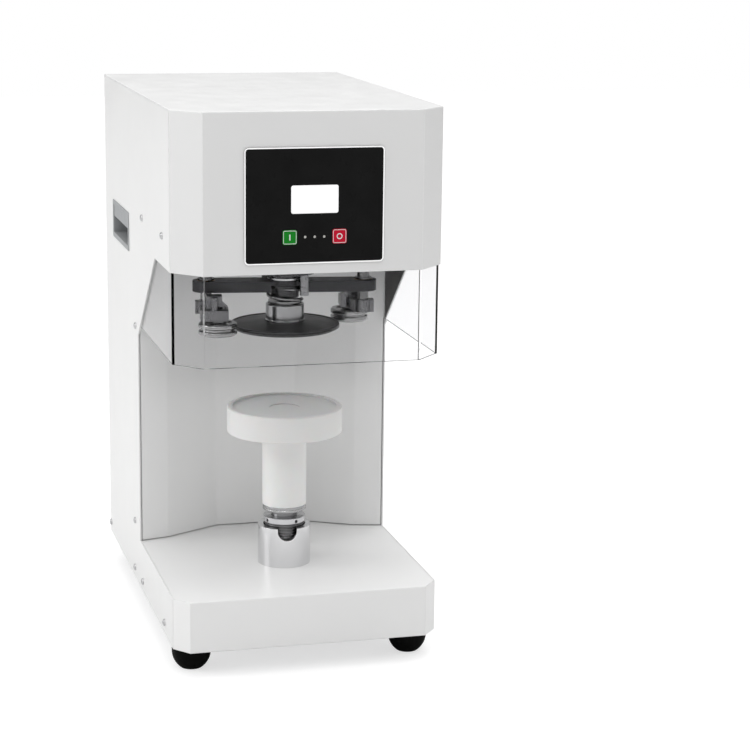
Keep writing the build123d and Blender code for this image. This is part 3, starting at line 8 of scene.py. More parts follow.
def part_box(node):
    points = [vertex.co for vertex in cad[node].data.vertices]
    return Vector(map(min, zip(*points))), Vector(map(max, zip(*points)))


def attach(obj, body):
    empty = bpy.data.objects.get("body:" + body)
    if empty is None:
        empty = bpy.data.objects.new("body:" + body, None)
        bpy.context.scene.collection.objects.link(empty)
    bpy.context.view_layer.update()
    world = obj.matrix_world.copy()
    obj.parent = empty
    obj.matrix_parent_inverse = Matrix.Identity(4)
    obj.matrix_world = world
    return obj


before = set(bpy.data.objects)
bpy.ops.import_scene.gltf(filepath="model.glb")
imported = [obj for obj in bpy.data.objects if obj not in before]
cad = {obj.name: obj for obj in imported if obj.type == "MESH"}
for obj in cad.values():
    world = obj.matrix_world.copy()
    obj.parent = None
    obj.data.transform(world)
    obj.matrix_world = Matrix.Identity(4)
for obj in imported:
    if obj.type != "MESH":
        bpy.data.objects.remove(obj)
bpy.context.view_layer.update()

headAxis = (0.0, -0.096)        # seaming head, chuck and lift share this upright axis
print("frame loaded:", len(cad), "nodes")

# The camera stands where the photograph was taken from, a little left of the front and above
view = {
    "place": (-0.4579, -2.1156, 0.7240),
    "yaw": 15.25,
    "pitch": 12.41,
    "roll": 0.71,
    "lens": 102.84,
}


def makeCamera(settings):
    yaw, pitch, roll = (math.radians(settings[k]) for k in ("yaw", "pitch", "roll"))
    forward = Vector((math.sin(yaw) * math.cos(pitch), math.cos(yaw) * math.cos(pitch), -math.sin(pitch)))
    level = Vector((math.cos(yaw), -math.sin(yaw), 0.0))
    upright = level.cross(forward)
    right = level * math.cos(roll) + upright * math.sin(roll)
    up = upright * math.cos(roll) - level * math.sin(roll)
    data = bpy.data.cameras.new("camera")
    data.lens = settings["lens"]
    data.sensor_width = 36.0
    data.clip_start = 0.05
    data.clip_end = 50.0
    camera = bpy.data.objects.new("camera", data)
    turn = Matrix((right, up, -forward)).transposed().to_4x4()
    camera.matrix_world = Matrix.Translation(settings["place"]) @ turn
    bpy.context.scene.collection.objects.link(camera)
    bpy.context.scene.camera = camera


makeCamera(view)
bpy.context.scene.view_settings.view_transform = "Standard"
print("camera placed")


# Small helpers for building node trees
def addNode(tree, kind, **sockets):
    node = tree.nodes.new(kind)
    for name, value in sockets.items():
        node.inputs[name.replace("_", " ")].default_value = value
    return node


def join(tree, source, target):
    tree.links.new(source, target)


def mathNode(tree, operation, first, second=None, clamp=False):
    node = tree.nodes.new("ShaderNodeMath")
    node.operation = operation
    node.use_clamp = clamp
    for place, value in enumerate((first, second)):
        if value is None:
            continue
        if isinstance(value, (int, float)):
            node.inputs[place].default_value = value
        else:
            join(tree, value, node.inputs[place])
    return node.outputs[0]


def newGroup(name, inputs, outputs):
    group = bpy.data.node_groups.new(name, "ShaderNodeTree")
    for label, kind, value in inputs:
        socket = group.interface.new_socket(label, in_out="INPUT", socket_type=kind)
        socket.default_value = value
    for label, kind in outputs:
        group.interface.new_socket(label, in_out="OUTPUT", socket_type=kind)
    return group, group.nodes.new("NodeGroupInput"), group.nodes.new("NodeGroupOutput")


def buildMottle():
    # Cloudy change of a value: noise on the object's own coordinates, spread between Low and High
    group, start, end = newGroup(
        "softMottle",
        [("Scale", "NodeSocketFloat", 20.0), ("Low", "NodeSocketFloat", 0.0), ("High", "NodeSocketFloat", 1.0)],
        [("Value", "NodeSocketFloat")],
    )
    coords = group.nodes.new("ShaderNodeTexCoord")
    noise = addNode(group, "ShaderNodeTexNoise", Detail=5.0, Roughness=0.55)
    spread = addNode(group, "ShaderNodeMapRange")
    spread.inputs["From Min"].default_value = 0.3
    spread.inputs["From Max"].default_value = 0.7
    join(group, coords.outputs["Object"], noise.inputs["Vector"])
    join(group, start.outputs["Scale"], noise.inputs["Scale"])
    join(group, noise.outputs["Fac"], spread.inputs["Value"])
    join(group, start.outputs["Low"], spread.inputs["To Min"])
    join(group, start.outputs["High"], spread.inputs["To Max"])
    join(group, spread.outputs["Result"], end.inputs["Value"])
    return group


def buildSoftEdge():
    # Rounds the shading over sharp bends, and marks where the surface turns as an edge mask
    group, start, end = newGroup(
        "softEdge",
        [("Gain", "NodeSocketFloat", 6.0)],
        [("Normal", "NodeSocketVector"), ("Mask", "NodeSocketFloat")],
    )
    bevel = addNode(group, "ShaderNodeBevel", Radius=0.0012)
    bevel.samples = 4
    geometry = group.nodes.new("ShaderNodeNewGeometry")
    dot = group.nodes.new("ShaderNodeVectorMath")
    dot.operation = "DOT_PRODUCT"
    join(group, bevel.outputs["Normal"], dot.inputs[0])
    join(group, geometry.outputs["Normal"], dot.inputs[1])
    away = mathNode(group, "SUBTRACT", 1.0, dot.outputs["Value"], clamp=True)
    mask = mathNode(group, "MULTIPLY", away, start.outputs["Gain"], clamp=True)
    join(group, bevel.outputs["Normal"], end.inputs["Normal"])
    join(group, mask, end.inputs["Mask"])
    return group


def buildTurnedLines():
    # Lathe marks: fine noise that changes with the height and with the distance from the piece's own axis
    group, start, end = newGroup(
        "turnedLines",
        [("Centre", "NodeSocketVector", (0.0, 0.0, 0.0)), ("Scale", "NodeSocketFloat", 1800.0)],
        [("Value", "NodeSocketFloat")],
    )
    coords = group.nodes.new("ShaderNodeTexCoord")
    shift = group.nodes.new("ShaderNodeVectorMath")
    shift.operation = "SUBTRACT"
    parts = group.nodes.new("ShaderNodeSeparateXYZ")
    join(group, coords.outputs["Object"], shift.inputs[0])
    join(group, start.outputs["Centre"], shift.inputs[1])
    join(group, shift.outputs["Vector"], parts.inputs["Vector"])
    across = mathNode(group, "MULTIPLY", parts.outputs["X"], parts.outputs["X"])
    along = mathNode(group, "MULTIPLY", parts.outputs["Y"], parts.outputs["Y"])
    radius = mathNode(group, "SQRT", mathNode(group, "ADD", across, along))
    line = group.nodes.new("ShaderNodeCombineXYZ")
    join(group, mathNode(group, "MULTIPLY", radius, start.outputs["Scale"]), line.inputs["X"])
    join(group, mathNode(group, "MULTIPLY", parts.outputs["Z"], start.outputs["Scale"]), line.inputs["Y"])
    noise = addNode(group, "ShaderNodeTexNoise", Scale=1.0, Detail=3.0, Roughness=0.6)
    join(group, line.outputs["Vector"], noise.inputs["Vector"])
    join(group, noise.outputs["Fac"], end.inputs["Value"])
    return group


def buildGrainLines():
    # Rolled or milled grain: noise stretched along one direction by unequal scales
    group, start, end = newGroup(
        "grainLines",
        [("Stretch", "NodeSocketVector", (2000.0, 2000.0, 60.0))],
        [("Value", "NodeSocketFloat")],
    )
    coords = group.nodes.new("ShaderNodeTexCoord")
    scaled = group.nodes.new("ShaderNodeVectorMath")
    scaled.operation = "MULTIPLY"
    noise = addNode(group, "ShaderNodeTexNoise", Scale=1.0, Detail=4.0, Roughness=0.6)
    join(group, coords.outputs["Object"], scaled.inputs[0])
    join(group, start.outputs["Stretch"], scaled.inputs[1])
    join(group, scaled.outputs["Vector"], noise.inputs["Vector"])
    join(group, noise.outputs["Fac"], end.inputs["Value"])
    return group


softMottle = buildMottle()
softEdge = buildSoftEdge()
turnedLines = buildTurnedLines()
grainLines = buildGrainLines()
print("shared effects built")


def useGroup(tree, group, **sockets):
    node = tree.nodes.new("ShaderNodeGroup")
    node.node_tree = group
    for name, value in sockets.items():
        node.inputs[name].default_value = value
    return node


def newMaterial(name):
    material = bpy.data.materials.new(name)
    material.use_nodes = True
    tree = material.node_tree
    tree.nodes.clear()
    shader = tree.nodes.new("ShaderNodeBsdfPrincipled")
    output = tree.nodes.new("ShaderNodeOutputMaterial")
    join(tree, shader.outputs["BSDF"], output.inputs["Surface"])
    return material, tree, shader


def mixColour(tree, factor, first, second):
    node = tree.nodes.new("ShaderNodeMix")
    node.data_type = "RGBA"
    ports = [s for s in node.inputs if s.type == "RGBA"]
    for port, value in zip(ports, (first, second)):
        if isinstance(value, tuple):
            port.default_value = (*value, 1.0)
        else:
            join(tree, value, port)
    join(tree, factor, node.inputs["Factor"])
    return next(s for s in node.outputs if s.type == "RGBA")


def bumpFrom(tree, height, strength, distance, normal=None):
    bump = addNode(tree, "ShaderNodeBump", Strength=strength, Distance=distance)
    join(tree, height, bump.inputs["Height"])
    if normal is not None:
        join(tree, normal, bump.inputs["Normal"])
    return bump.outputs["Normal"]


def coatedSheet(settings):
    # Powder coat: slight clouding of colour and gloss, orange-peel bump, bends shaded round and made paler by a
    # painted highlight
    material, tree, shader = newMaterial(settings["name"])
    clouds = useGroup(tree, softMottle, Scale=settings["cloudScale"], Low=0.0, High=1.0)
    edge = useGroup(tree, softEdge, Gain=settings["edgeGain"])
    base = mixColour(tree, clouds.outputs["Value"], settings["colour"], settings["cloudColour"])
    # Painted highlight: the edge mask mixes the paler edge colour into the bends
    colour = mixColour(tree, edge.outputs["Mask"], base, settings["edgeTintAndPaintedLight"])
    rough = settings["roughness"]
    gloss = useGroup(tree, softMottle, Scale=35.0, Low=rough - 0.04, High=rough + 0.05)
    peel = useGroup(tree, softMottle, Scale=settings["peelScale"], Low=0.0, High=1.0)
    normal = bumpFrom(tree, peel.outputs["Value"], 0.12, 0.0002, edge.outputs["Normal"])
    join(tree, colour, shader.inputs["Base Color"])
    join(tree, gloss.outputs["Value"], shader.inputs["Roughness"])
    join(tree, normal, shader.inputs["Normal"])
    return material


def mouldedPlastic(settings):
    # Moulded plastic or rubber: fine texture in the bump and the gloss; edges take the edge colour, which is the cut
    # laminate's own tint on the board and a painted highlight (paler edges) on most other pieces
    material, tree, shader = newMaterial(settings["name"])
    clouds = useGroup(tree, softMottle, Scale=settings["cloudScale"], Low=0.0, High=1.0)
    edge = useGroup(tree, softEdge, Gain=settings["edgeGain"])
    base = mixColour(tree, clouds.outputs["Value"], settings["colour"], settings["cloudColour"])
    # Edge colour mixed in by the edge mask; on most pieces this is a painted highlight
    colour = mixColour(tree, edge.outputs["Mask"], base, settings["edgeTintAndPaintedLight"])
    if "paintedTopLight" in settings:
        # Faces that look up take a paler colour of their own: painted light on the top
        facing = tree.nodes.new("ShaderNodeNewGeometry")
        parts = tree.nodes.new("ShaderNodeSeparateXYZ")
        join(tree, facing.outputs["Normal"], parts.inputs["Vector"])
        paintedTopMask = mathNode(tree, "GREATER_THAN", parts.outputs["Z"], 0.8)
        colour = mixColour(tree, paintedTopMask, colour, settings["paintedTopLight"])
    rough = settings["roughness"]
    gloss = useGroup(tree, softMottle, Scale=90.0, Low=rough - 0.05, High=rough + 0.07)
    grain = useGroup(tree, softMottle, Scale=settings["grainScale"], Low=0.0, High=1.0)
    normal = bumpFrom(tree, grain.outputs["Value"], settings["grainStrength"], 0.0002, edge.outputs["Normal"])
    join(tree, colour, shader.inputs["Base Color"])
    join(tree, gloss.outputs["Value"], shader.inputs["Roughness"])
    join(tree, normal, shader.inputs["Normal"])
    shader.inputs["Specular IOR Level"].default_value = settings.get("specular", 0.5)
    # Painted glow: emission that brightens a part which is no lamp
    if "glow" in settings:
        shader.inputs["Emission Color"].default_value = (1.0, 1.0, 1.0, 1.0)
        shader.inputs["Emission Strength"].default_value = settings["glow"]
    if "coat" in settings:
        shader.inputs["Coat Weight"].default_value = settings["coat"]
        shader.inputs["Coat Roughness"].default_value = 0.12
    return material


def heightBand(tree, low, high):
    # 1 between two heights of the object's own coordinates, 0 elsewhere
    coords = tree.nodes.new("ShaderNodeTexCoord")
    parts = tree.nodes.new("ShaderNodeSeparateXYZ")
    join(tree, coords.outputs["Object"], parts.inputs["Vector"])
    away = mathNode(tree, "ABSOLUTE", mathNode(tree, "SUBTRACT", parts.outputs["Z"], (low + high) / 2))
    return mathNode(tree, "LESS_THAN", away, (high - low) / 2)


def turnedMetal(settings, centre):
    # Turned metal: lathe lines in bump, gloss and tone round the piece's own axis; paler at the edges, partly wear
    # and partly a painted highlight
    material, tree, shader = newMaterial(settings["name"])
    lines = useGroup(tree, turnedLines, Centre=(centre[0], centre[1], 0.0), Scale=settings["lineScale"])
    edge = useGroup(tree, softEdge, Gain=settings["edgeGain"])
    clouds = useGroup(tree, softMottle, Scale=60.0, Low=-0.05, High=0.05)
    base = mixColour(tree, lines.outputs["Value"], settings["colour"], settings["lineColour"])
    for low, high, bandColour in settings.get("bands", ()):
        base = mixColour(tree, heightBand(tree, low, high), base, bandColour)
    # Paler edge colour from the edge mask: partly wear, partly painted highlight
    colour = mixColour(tree, edge.outputs["Mask"], base, settings["edgeTintAndPaintedLight"])
    spread = addNode(tree, "ShaderNodeMapRange")
    spread.inputs["To Min"].default_value = settings["roughness"] - 0.06
    spread.inputs["To Max"].default_value = settings["roughness"] + 0.08
    join(tree, lines.outputs["Value"], spread.inputs["Value"])
    gloss = mathNode(tree, "ADD", spread.outputs["Result"], clouds.outputs["Value"], clamp=True)
    normal = bumpFrom(tree, lines.outputs["Value"], settings["lineStrength"], 0.0001, edge.outputs["Normal"])
    shader.inputs["Metallic"].default_value = settings["metallic"]
    join(tree, colour, shader.inputs["Base Color"])
    join(tree, gloss, shader.inputs["Roughness"])
    join(tree, normal, shader.inputs["Normal"])
    return material


def flatMetal(settings):
    # Rolled, ground or milled metal: straight grain in tone, gloss and bump; paler edges, partly wear and partly a
    # painted highlight
    material, tree, shader = newMaterial(settings["name"])
    grain = useGroup(tree, grainLines, Stretch=settings["stretch"])
    edge = useGroup(tree, softEdge, Gain=settings["edgeGain"])
    clouds = useGroup(tree, softMottle, Scale=settings["cloudScale"], Low=-0.06, High=0.06)
    base = mixColour(tree, grain.outputs["Value"], settings["colour"], settings["grainColour"])
    # Paler edge colour from the edge mask: partly wear, partly painted highlight
    colour = mixColour(tree, edge.outputs["Mask"], base, settings["edgeTintAndPaintedLight"])
    spread = addNode(tree, "ShaderNodeMapRange")
    spread.inputs["To Min"].default_value = settings["roughness"] - 0.07
    spread.inputs["To Max"].default_value = settings["roughness"] + 0.08
    join(tree, grain.outputs["Value"], spread.inputs["Value"])
    gloss = mathNode(tree, "ADD", spread.outputs["Result"], clouds.outputs["Value"], clamp=True)
    normal = bumpFrom(tree, grain.outputs["Value"], settings["grainStrength"], 0.0001, edge.outputs["Normal"])
    shader.inputs["Metallic"].default_value = settings["metallic"]
    join(tree, colour, shader.inputs["Base Color"])
    join(tree, gloss, shader.inputs["Roughness"])
    join(tree, normal, shader.inputs["Normal"])
    return material


def clearSheet(settings):
    # Clear bent sheet: plain glass-like shader with faint haze; lamps reach what is behind it, but dimmed to dark
    # grey, far below the sheet's clear tint, as painted shade inside the guard
    material, tree, shader = newMaterial(settings["name"])
    output = next(n for n in tree.nodes if n.type == "OUTPUT_MATERIAL")
    haze = useGroup(tree, softMottle, Scale=18.0, Low=settings["roughness"], High=settings["roughness"] + 0.03)
    edge = useGroup(tree, softEdge, Gain=settings["edgeGain"])
    # Upright folds get a dark tint, a painted shade line along the bends; the cut edges, whose soft normal leans up
    # or down, stay clear
    parts = tree.nodes.new("ShaderNodeSeparateXYZ")
    join(tree, edge.outputs["Normal"], parts.inputs["Vector"])
    tilt = mathNode(tree, "ABSOLUTE", parts.outputs["Z"])
    lean = mathNode(tree, "MULTIPLY", tilt, 3.0, clamp=True)
    paintedFoldShade = mathNode(tree, "MULTIPLY", edge.outputs["Mask"], mathNode(tree, "SUBTRACT", 1.0, lean))
    colour = mixColour(tree, paintedFoldShade, settings["colour"], settings["edgeTintAndPaintedLight"])
    shader.inputs["IOR"].default_value = settings["ior"]
    shader.inputs["Transmission Weight"].default_value = 1.0
    join(tree, colour, shader.inputs["Base Color"])
    join(tree, haze.outputs["Value"], shader.inputs["Roughness"])
    shadePassing = addNode(tree, "ShaderNodeBsdfTransparent", Color=(*settings["lampShadeColour"], 1.0))
    path = tree.nodes.new("ShaderNodeLightPath")
    chooser = tree.nodes.new("ShaderNodeMixShader")
    join(tree, path.outputs["Is Shadow Ray"], chooser.inputs["Fac"])
    join(tree, shader.outputs["BSDF"], chooser.inputs[1])
    join(tree, shadePassing.outputs["BSDF"], chooser.inputs[2])
    join(tree, chooser.outputs["Shader"], output.inputs["Surface"])
    return material


def finishNodes(material, *names):
    for name in names:
        node = cad[name]
        if not node.material_slots:
            node.data.materials.append(material)
        for slot in node.material_slots:
            slot.material = material


caseCoat = {
    "name": "whitePowderCoat", "colour": (0.85, 0.85, 0.845), "cloudColour": (0.83, 0.83, 0.826),
    "edgeTintAndPaintedLight": (0.89, 0.89, 0.885), "cloudScale": 7.0, "peelScale": 700.0, "roughness": 0.36, "edgeGain": 4.0,
}
finishNodes(coatedSheet(caseCoat), "left_side_panel", "right_side_panel", "rear_panel")
# The head cover is a darker copy of the case coat, painted shade, and its bends take a white edge colour with a
# strong gain, a painted highlight line
headCoatPaintedShade = dict(caseCoat, name="whitePowderCoatHeadPaintedShade", colour=(0.79, 0.79, 0.788), cloudColour=(0.77, 0.77, 0.768),
                edgeTintAndPaintedLight=(1.0, 1.0, 0.995), edgeGain=9.0)
finishNodes(coatedSheet(headCoatPaintedShade), "head_cover")
# The base and column panels are paler copies of the case coat, painted light
tableCoatPaintedLight = dict(caseCoat, name="whitePowderCoatTablePaintedLight", colour=(0.9, 0.9, 0.895), cloudColour=(0.88, 0.88, 0.877))
finishNodes(coatedSheet(tableCoatPaintedLight), "base_cover")
columnCoatPaintedLight = dict(caseCoat, name="whitePowderCoatColumnPaintedLight", colour=(0.94, 0.94, 0.935), cloudColour=(0.92, 0.92, 0.917))
finishNodes(coatedSheet(columnCoatPaintedLight), "column_panel")

zincSheet = {
    "name": "zincPlatedSheet", "colour": (0.52, 0.53, 0.55), "grainColour": (0.62, 0.63, 0.64),
    "edgeTintAndPaintedLight": (0.72, 0.72, 0.73), "stretch": (45.0, 900.0, 900.0), "cloudScale": 14.0, "roughness": 0.38,
    "metallic": 1.0, "edgeGain": 5.0, "grainStrength": 0.08,
}
finishNodes(flatMetal(zincSheet), "bottom_plate", "frame_uprights", "mechanism_plate")

handlePlastic = {
    "name": "greyHandlePlastic", "colour": (0.36, 0.37, 0.38), "cloudColour": (0.33, 0.34, 0.35),
    "edgeTintAndPaintedLight": (0.5, 0.5, 0.51), "cloudScale": 30.0, "grainScale": 1600.0, "grainStrength": 0.25,
    "roughness": 0.5, "edgeGain": 3.0,
}
finishNodes(mouldedPlastic(handlePlastic), "side_handles")

footRubber = {
    "name": "blackFootRubber", "colour": (0.003, 0.003, 0.003), "cloudColour": (0.006, 0.0058, 0.0055),
    "edgeTintAndPaintedLight": (0.02, 0.02, 0.02), "cloudScale": 80.0, "grainScale": 1400.0, "grainStrength": 0.35,
    "roughness": 0.55, "edgeGain": 2.0, "specular": 0.04,
}
finishNodes(mouldedPlastic(footRubber), "rubber_feet")

beltRubber = dict(footRubber, name="driveBeltRubber", roughness=0.7)
finishNodes(mouldedPlastic(beltRubber), "drive_belt")

screwZinc = {
    "name": "zincScrewHead", "colour": (0.55, 0.55, 0.56), "grainColour": (0.66, 0.66, 0.67),
    "edgeTintAndPaintedLight": (0.8, 0.8, 0.8), "stretch": (1200.0, 1200.0, 1200.0), "cloudScale": 120.0, "roughness": 0.3,
    "metallic": 1.0, "edgeGain": 3.0, "grainStrength": 0.1,
}
finishNodes(flatMetal(screwZinc), "side_screws", "rear_screws")

# The dark edge colour is a painted shade line on the folds, and the dark lamp colour casts painted shade behind the
# guard
guardSheet = {
    "name": "clearGuardSheet", "colour": (0.985, 0.985, 0.99), "edgeTintAndPaintedLight": (0.35, 0.355, 0.36),
    "lampShadeColour": (0.26, 0.26, 0.27), "roughness": 0.0, "edgeGain": 3.0, "ior": 1.14,
}
finishNodes(clearSheet(guardSheet), "clear_guard")

panelFilm = {
    "name": "blackPanelFilm", "colour": (0.008, 0.008, 0.008), "cloudColour": (0.011, 0.011, 0.011),
    "edgeTintAndPaintedLight": (0.02, 0.02, 0.02), "cloudScale": 40.0, "grainScale": 2200.0, "grainStrength": 0.06,
    "roughness": 0.3, "edgeGain": 2.0, "specular": 0.04,
}
finishNodes(mouldedPlastic(panelFilm), "control_overlay")

# The display window glows a little: painted light, not a lamp
displayPlasticPaintedGlow = dict(
    panelFilm, name="paleDisplayWindowPaintedGlow", colour=(0.9, 0.9, 0.9), cloudColour=(0.87, 0.87, 0.875),
    edgeTintAndPaintedLight=(0.8, 0.8, 0.8), roughness=0.18, glow=0.3,
)
finishNodes(mouldedPlastic(displayPlasticPaintedGlow), "display_window")

lensPlastic = dict(
    panelFilm, name="indicatorLens", colour=(0.5, 0.49, 0.46), cloudColour=(0.6, 0.59, 0.55),
    edgeTintAndPaintedLight=(0.7, 0.7, 0.66), roughness=0.15,
)
finishNodes(mouldedPlastic(lensPlastic), "indicator_lenses")

greenCap = dict(
    panelFilm, name="greenKeyCap", colour=(0.012, 0.2, 0.02), cloudColour=(0.014, 0.23, 0.024),
    edgeTintAndPaintedLight=(0.1, 0.34, 0.12), roughness=0.32,
)
finishNodes(mouldedPlastic(greenCap), "green_key")

redCap = dict(
    panelFilm, name="redKeyCap", colour=(0.5, 0.01, 0.03), cloudColour=(0.55, 0.012, 0.035),
    edgeTintAndPaintedLight=(0.65, 0.1, 0.12), roughness=0.32,
)
finishNodes(mouldedPlastic(redCap), "red_key")

boardLaminate = dict(
    panelFilm, name="greenBoardLaminate", colour=(0.01, 0.09, 0.03), cloudColour=(0.02, 0.13, 0.045),
    edgeTintAndPaintedLight=(0.2, 0.22, 0.12), cloudScale=160.0, roughness=0.3,
)
finishNodes(mouldedPlastic(boardLaminate), "control_board")

blackMoulding = {
    "name": "blackMoulding", "colour": (0.016, 0.016, 0.017), "cloudColour": (0.022, 0.022, 0.023),
    "edgeTintAndPaintedLight": (0.07, 0.07, 0.07), "cloudScale": 70.0, "grainScale": 1800.0, "grainStrength": 0.2,
    "roughness": 0.36, "edgeGain": 2.5,
}
finishNodes(mouldedPlastic(blackMoulding), "power_inlet", "switch_housing", "switch_rocker")

motorEnamel = dict(blackMoulding, name="blackMotorEnamel", roughness=0.28, grainStrength=0.1, coat=0.3)
finishNodes(mouldedPlastic(motorEnamel), "drive_motor", "fork_motor", "lift_motor")

whiteAcetal = {
    "name": "whiteTurnedAcetal", "colour": (0.86, 0.86, 0.85), "cloudColour": (0.83, 0.83, 0.82),
    "edgeTintAndPaintedLight": (0.9, 0.9, 0.9), "cloudScale": 25.0, "grainScale": 900.0, "grainStrength": 0.08,
    "roughness": 0.4, "edgeGain": 2.0,
}
# The tray is a darker copy of the white acetal on its sides with a near-white top: painted shade on the sides,
# painted light on the top
trayAcetalPaintedLight = dict(whiteAcetal, name="whiteTrayAcetalPaintedLight", colour=(0.8, 0.8, 0.79), cloudColour=(0.78, 0.78, 0.77),
                  edgeTintAndPaintedLight=(0.86, 0.86, 0.855), paintedTopLight=(1.0, 1.0, 0.995))
for nodeName, acetalSettings in (("tray_post", whiteAcetal), ("can_tray", trayAcetalPaintedLight)):
    acetal = mouldedPlastic(acetalSettings)
    acetalShader = next(n for n in acetal.node_tree.nodes if n.type == "BSDF_PRINCIPLED")
    acetalShader.inputs["Subsurface Weight"].default_value = 0.15
    acetalShader.inputs["Subsurface Scale"].default_value = 0.004
    finishNodes(acetal, nodeName)

castGrey = {
    "name": "machinedCasting", "colour": (0.16, 0.16, 0.165), "grainColour": (0.24, 0.24, 0.245),
    "edgeTintAndPaintedLight": (0.45, 0.45, 0.46), "stretch": (500.0, 500.0, 500.0), "cloudScale": 50.0, "roughness": 0.5,
    "metallic": 0.85, "edgeGain": 4.0, "grainStrength": 0.25,
}
finishNodes(flatMetal(castGrey), "bearing_housing")

milledAluminium = {
    "name": "milledAluminium", "colour": (0.62, 0.63, 0.64), "grainColour": (0.74, 0.74, 0.75),
    "edgeTintAndPaintedLight": (0.82, 0.82, 0.83), "stretch": (60.0, 1100.0, 1100.0), "cloudScale": 30.0, "roughness": 0.33,
    "metallic": 1.0, "edgeGain": 4.0, "grainStrength": 0.12,
}
finishNodes(flatMetal(milledAluminium), "spindle_bridge", "cam_fork", "rotor_pulley", "motor_pulley")

blackenedBar = {
    "name": "blackenedBeam", "colour": (0.035, 0.035, 0.038), "grainColour": (0.055, 0.055, 0.058),
    "edgeTintAndPaintedLight": (0.12, 0.12, 0.125), "stretch": (60.0, 900.0, 900.0), "cloudScale": 45.0, "roughness": 0.4,
    "metallic": 0.8, "edgeGain": 5.0, "grainStrength": 0.12,
}
finishNodes(flatMetal(blackenedBar), "rotor_beam")

# The disc's pale edge colour is a painted highlight along its rim
blackenedDisc = {
    "name": "blackenedDisc", "colour": (0.009, 0.009, 0.0095), "lineColour": (0.018, 0.018, 0.0185),
    "edgeTintAndPaintedLight": (0.3, 0.3, 0.31), "lineScale": 1500.0, "lineStrength": 0.12, "roughness": 0.36,
    "metallic": 0.6, "edgeGain": 6.0,
}
finishNodes(turnedMetal(blackenedDisc, headAxis), "chuck_disc")

groundSteel = {
    "name": "groundSteel", "colour": (0.4, 0.4, 0.41), "grainColour": (0.52, 0.52, 0.53),
    "edgeTintAndPaintedLight": (0.72, 0.72, 0.73), "stretch": (300.0, 300.0, 1500.0), "cloudScale": 60.0, "roughness": 0.28,
    "metallic": 1.0, "edgeGain": 4.0, "grainStrength": 0.1,
}
finishNodes(flatMetal(groundSteel), "cam_lever_a", "cam_lever_b", "rotor_bearings")

armSteel = dict(groundSteel, name="milledArmSteel", colour=(0.13, 0.13, 0.135), grainColour=(0.19, 0.19, 0.195),
                edgeTintAndPaintedLight=(0.42, 0.42, 0.43), stretch=(900.0, 900.0, 160.0), roughness=0.3)
finishNodes(flatMetal(armSteel), "roller_arm_a", "roller_arm_b")

postSteel = dict(groundSteel, name="postSteel", colour=(0.2, 0.2, 0.205), grainColour=(0.28, 0.28, 0.285),
                 edgeTintAndPaintedLight=(0.5, 0.5, 0.51))
finishNodes(flatMetal(postSteel), "drive_posts")

bronzeBush = dict(groundSteel, name="bronzeBush", colour=(0.42, 0.25, 0.1), grainColour=(0.52, 0.33, 0.14),
                  edgeTintAndPaintedLight=(0.66, 0.45, 0.22))
finishNodes(flatMetal(bronzeBush), "pivot_bushes")

turnedSteel = {
    "name": "turnedSteel", "colour": (0.5, 0.5, 0.51), "lineColour": (0.62, 0.62, 0.63),
    "edgeTintAndPaintedLight": (0.8, 0.8, 0.81), "lineScale": 1700.0, "lineStrength": 0.1, "roughness": 0.24,
    "metallic": 1.0, "edgeGain": 4.0,
}
finishNodes(turnedMetal(turnedSteel, headAxis), "cam_cone", "lift_screw")

# A darker copy of the turned steel: painted shade and dark reflection under the head
neckSteelPaintedShade = dict(turnedSteel, name="lowerNeckSteelPaintedShade", colour=(0.2, 0.2, 0.205), lineColour=(0.3, 0.3, 0.305),
                 edgeTintAndPaintedLight=(0.45, 0.45, 0.46), roughness=0.2)
finishNodes(turnedMetal(neckSteelPaintedShade, headAxis), "lift_spindle")

# The hub is blackened, with one ring left bright above its boss
hubSteel = dict(turnedSteel, name="blackenedHub", colour=(0.05, 0.05, 0.052), lineColour=(0.08, 0.08, 0.082),
                edgeTintAndPaintedLight=(0.3, 0.3, 0.31), roughness=0.26, bands=((0.365, 0.3668, (0.75, 0.75, 0.76)),))
finishNodes(turnedMetal(hubSteel, headAxis), "centre_spindle", "rotor_hub")

brightSteel = dict(turnedSteel, name="polishedSteel", colour=(0.68, 0.68, 0.69), lineColour=(0.78, 0.78, 0.79),
                   edgeTintAndPaintedLight=(0.9, 0.9, 0.9), lineStrength=0.05, roughness=0.13)
finishNodes(turnedMetal(brightSteel, headAxis), "guide_collar")

# A darker copy of the polished steel: painted shade and dark reflection under the head
flangeSteelPaintedShade = dict(brightSteel, name="flangeSteelPaintedShade", colour=(0.32, 0.32, 0.325), lineColour=(0.42, 0.42, 0.425))
finishNodes(turnedMetal(flangeSteelPaintedShade, headAxis), "post_flange")

# The ring keeps a bright band with the spanner holes; its threaded stem is painted dark, painted shade inside the
# collar's notch
ringSteel = dict(brightSteel, name="ringSteel", colour=(0.13, 0.13, 0.132), lineColour=(0.18, 0.18, 0.182),
                 edgeTintAndPaintedLight=(0.25, 0.25, 0.255), roughness=0.3, bands=((0.1194, 0.1252, (0.62, 0.62, 0.63)),))
finishNodes(turnedMetal(ringSteel, headAxis), "adjusting_ring")

# A darker copy of the polished steel: painted shade and dark reflection inside the head
collarSteelPaintedShade = dict(brightSteel, name="collarSteelPaintedShade", colour=(0.28, 0.28, 0.285), lineColour=(0.36, 0.36, 0.365),
                   roughness=0.15)
finishNodes(turnedMetal(collarSteelPaintedShade, headAxis), "chuck_collar")

springSteel = dict(groundSteel, name="springWire", colour=(0.26, 0.26, 0.265), grainColour=(0.34, 0.34, 0.345),
                   roughness=0.22, edgeGain=1.0)
finishNodes(flatMetal(springSteel), "chuck_spring")

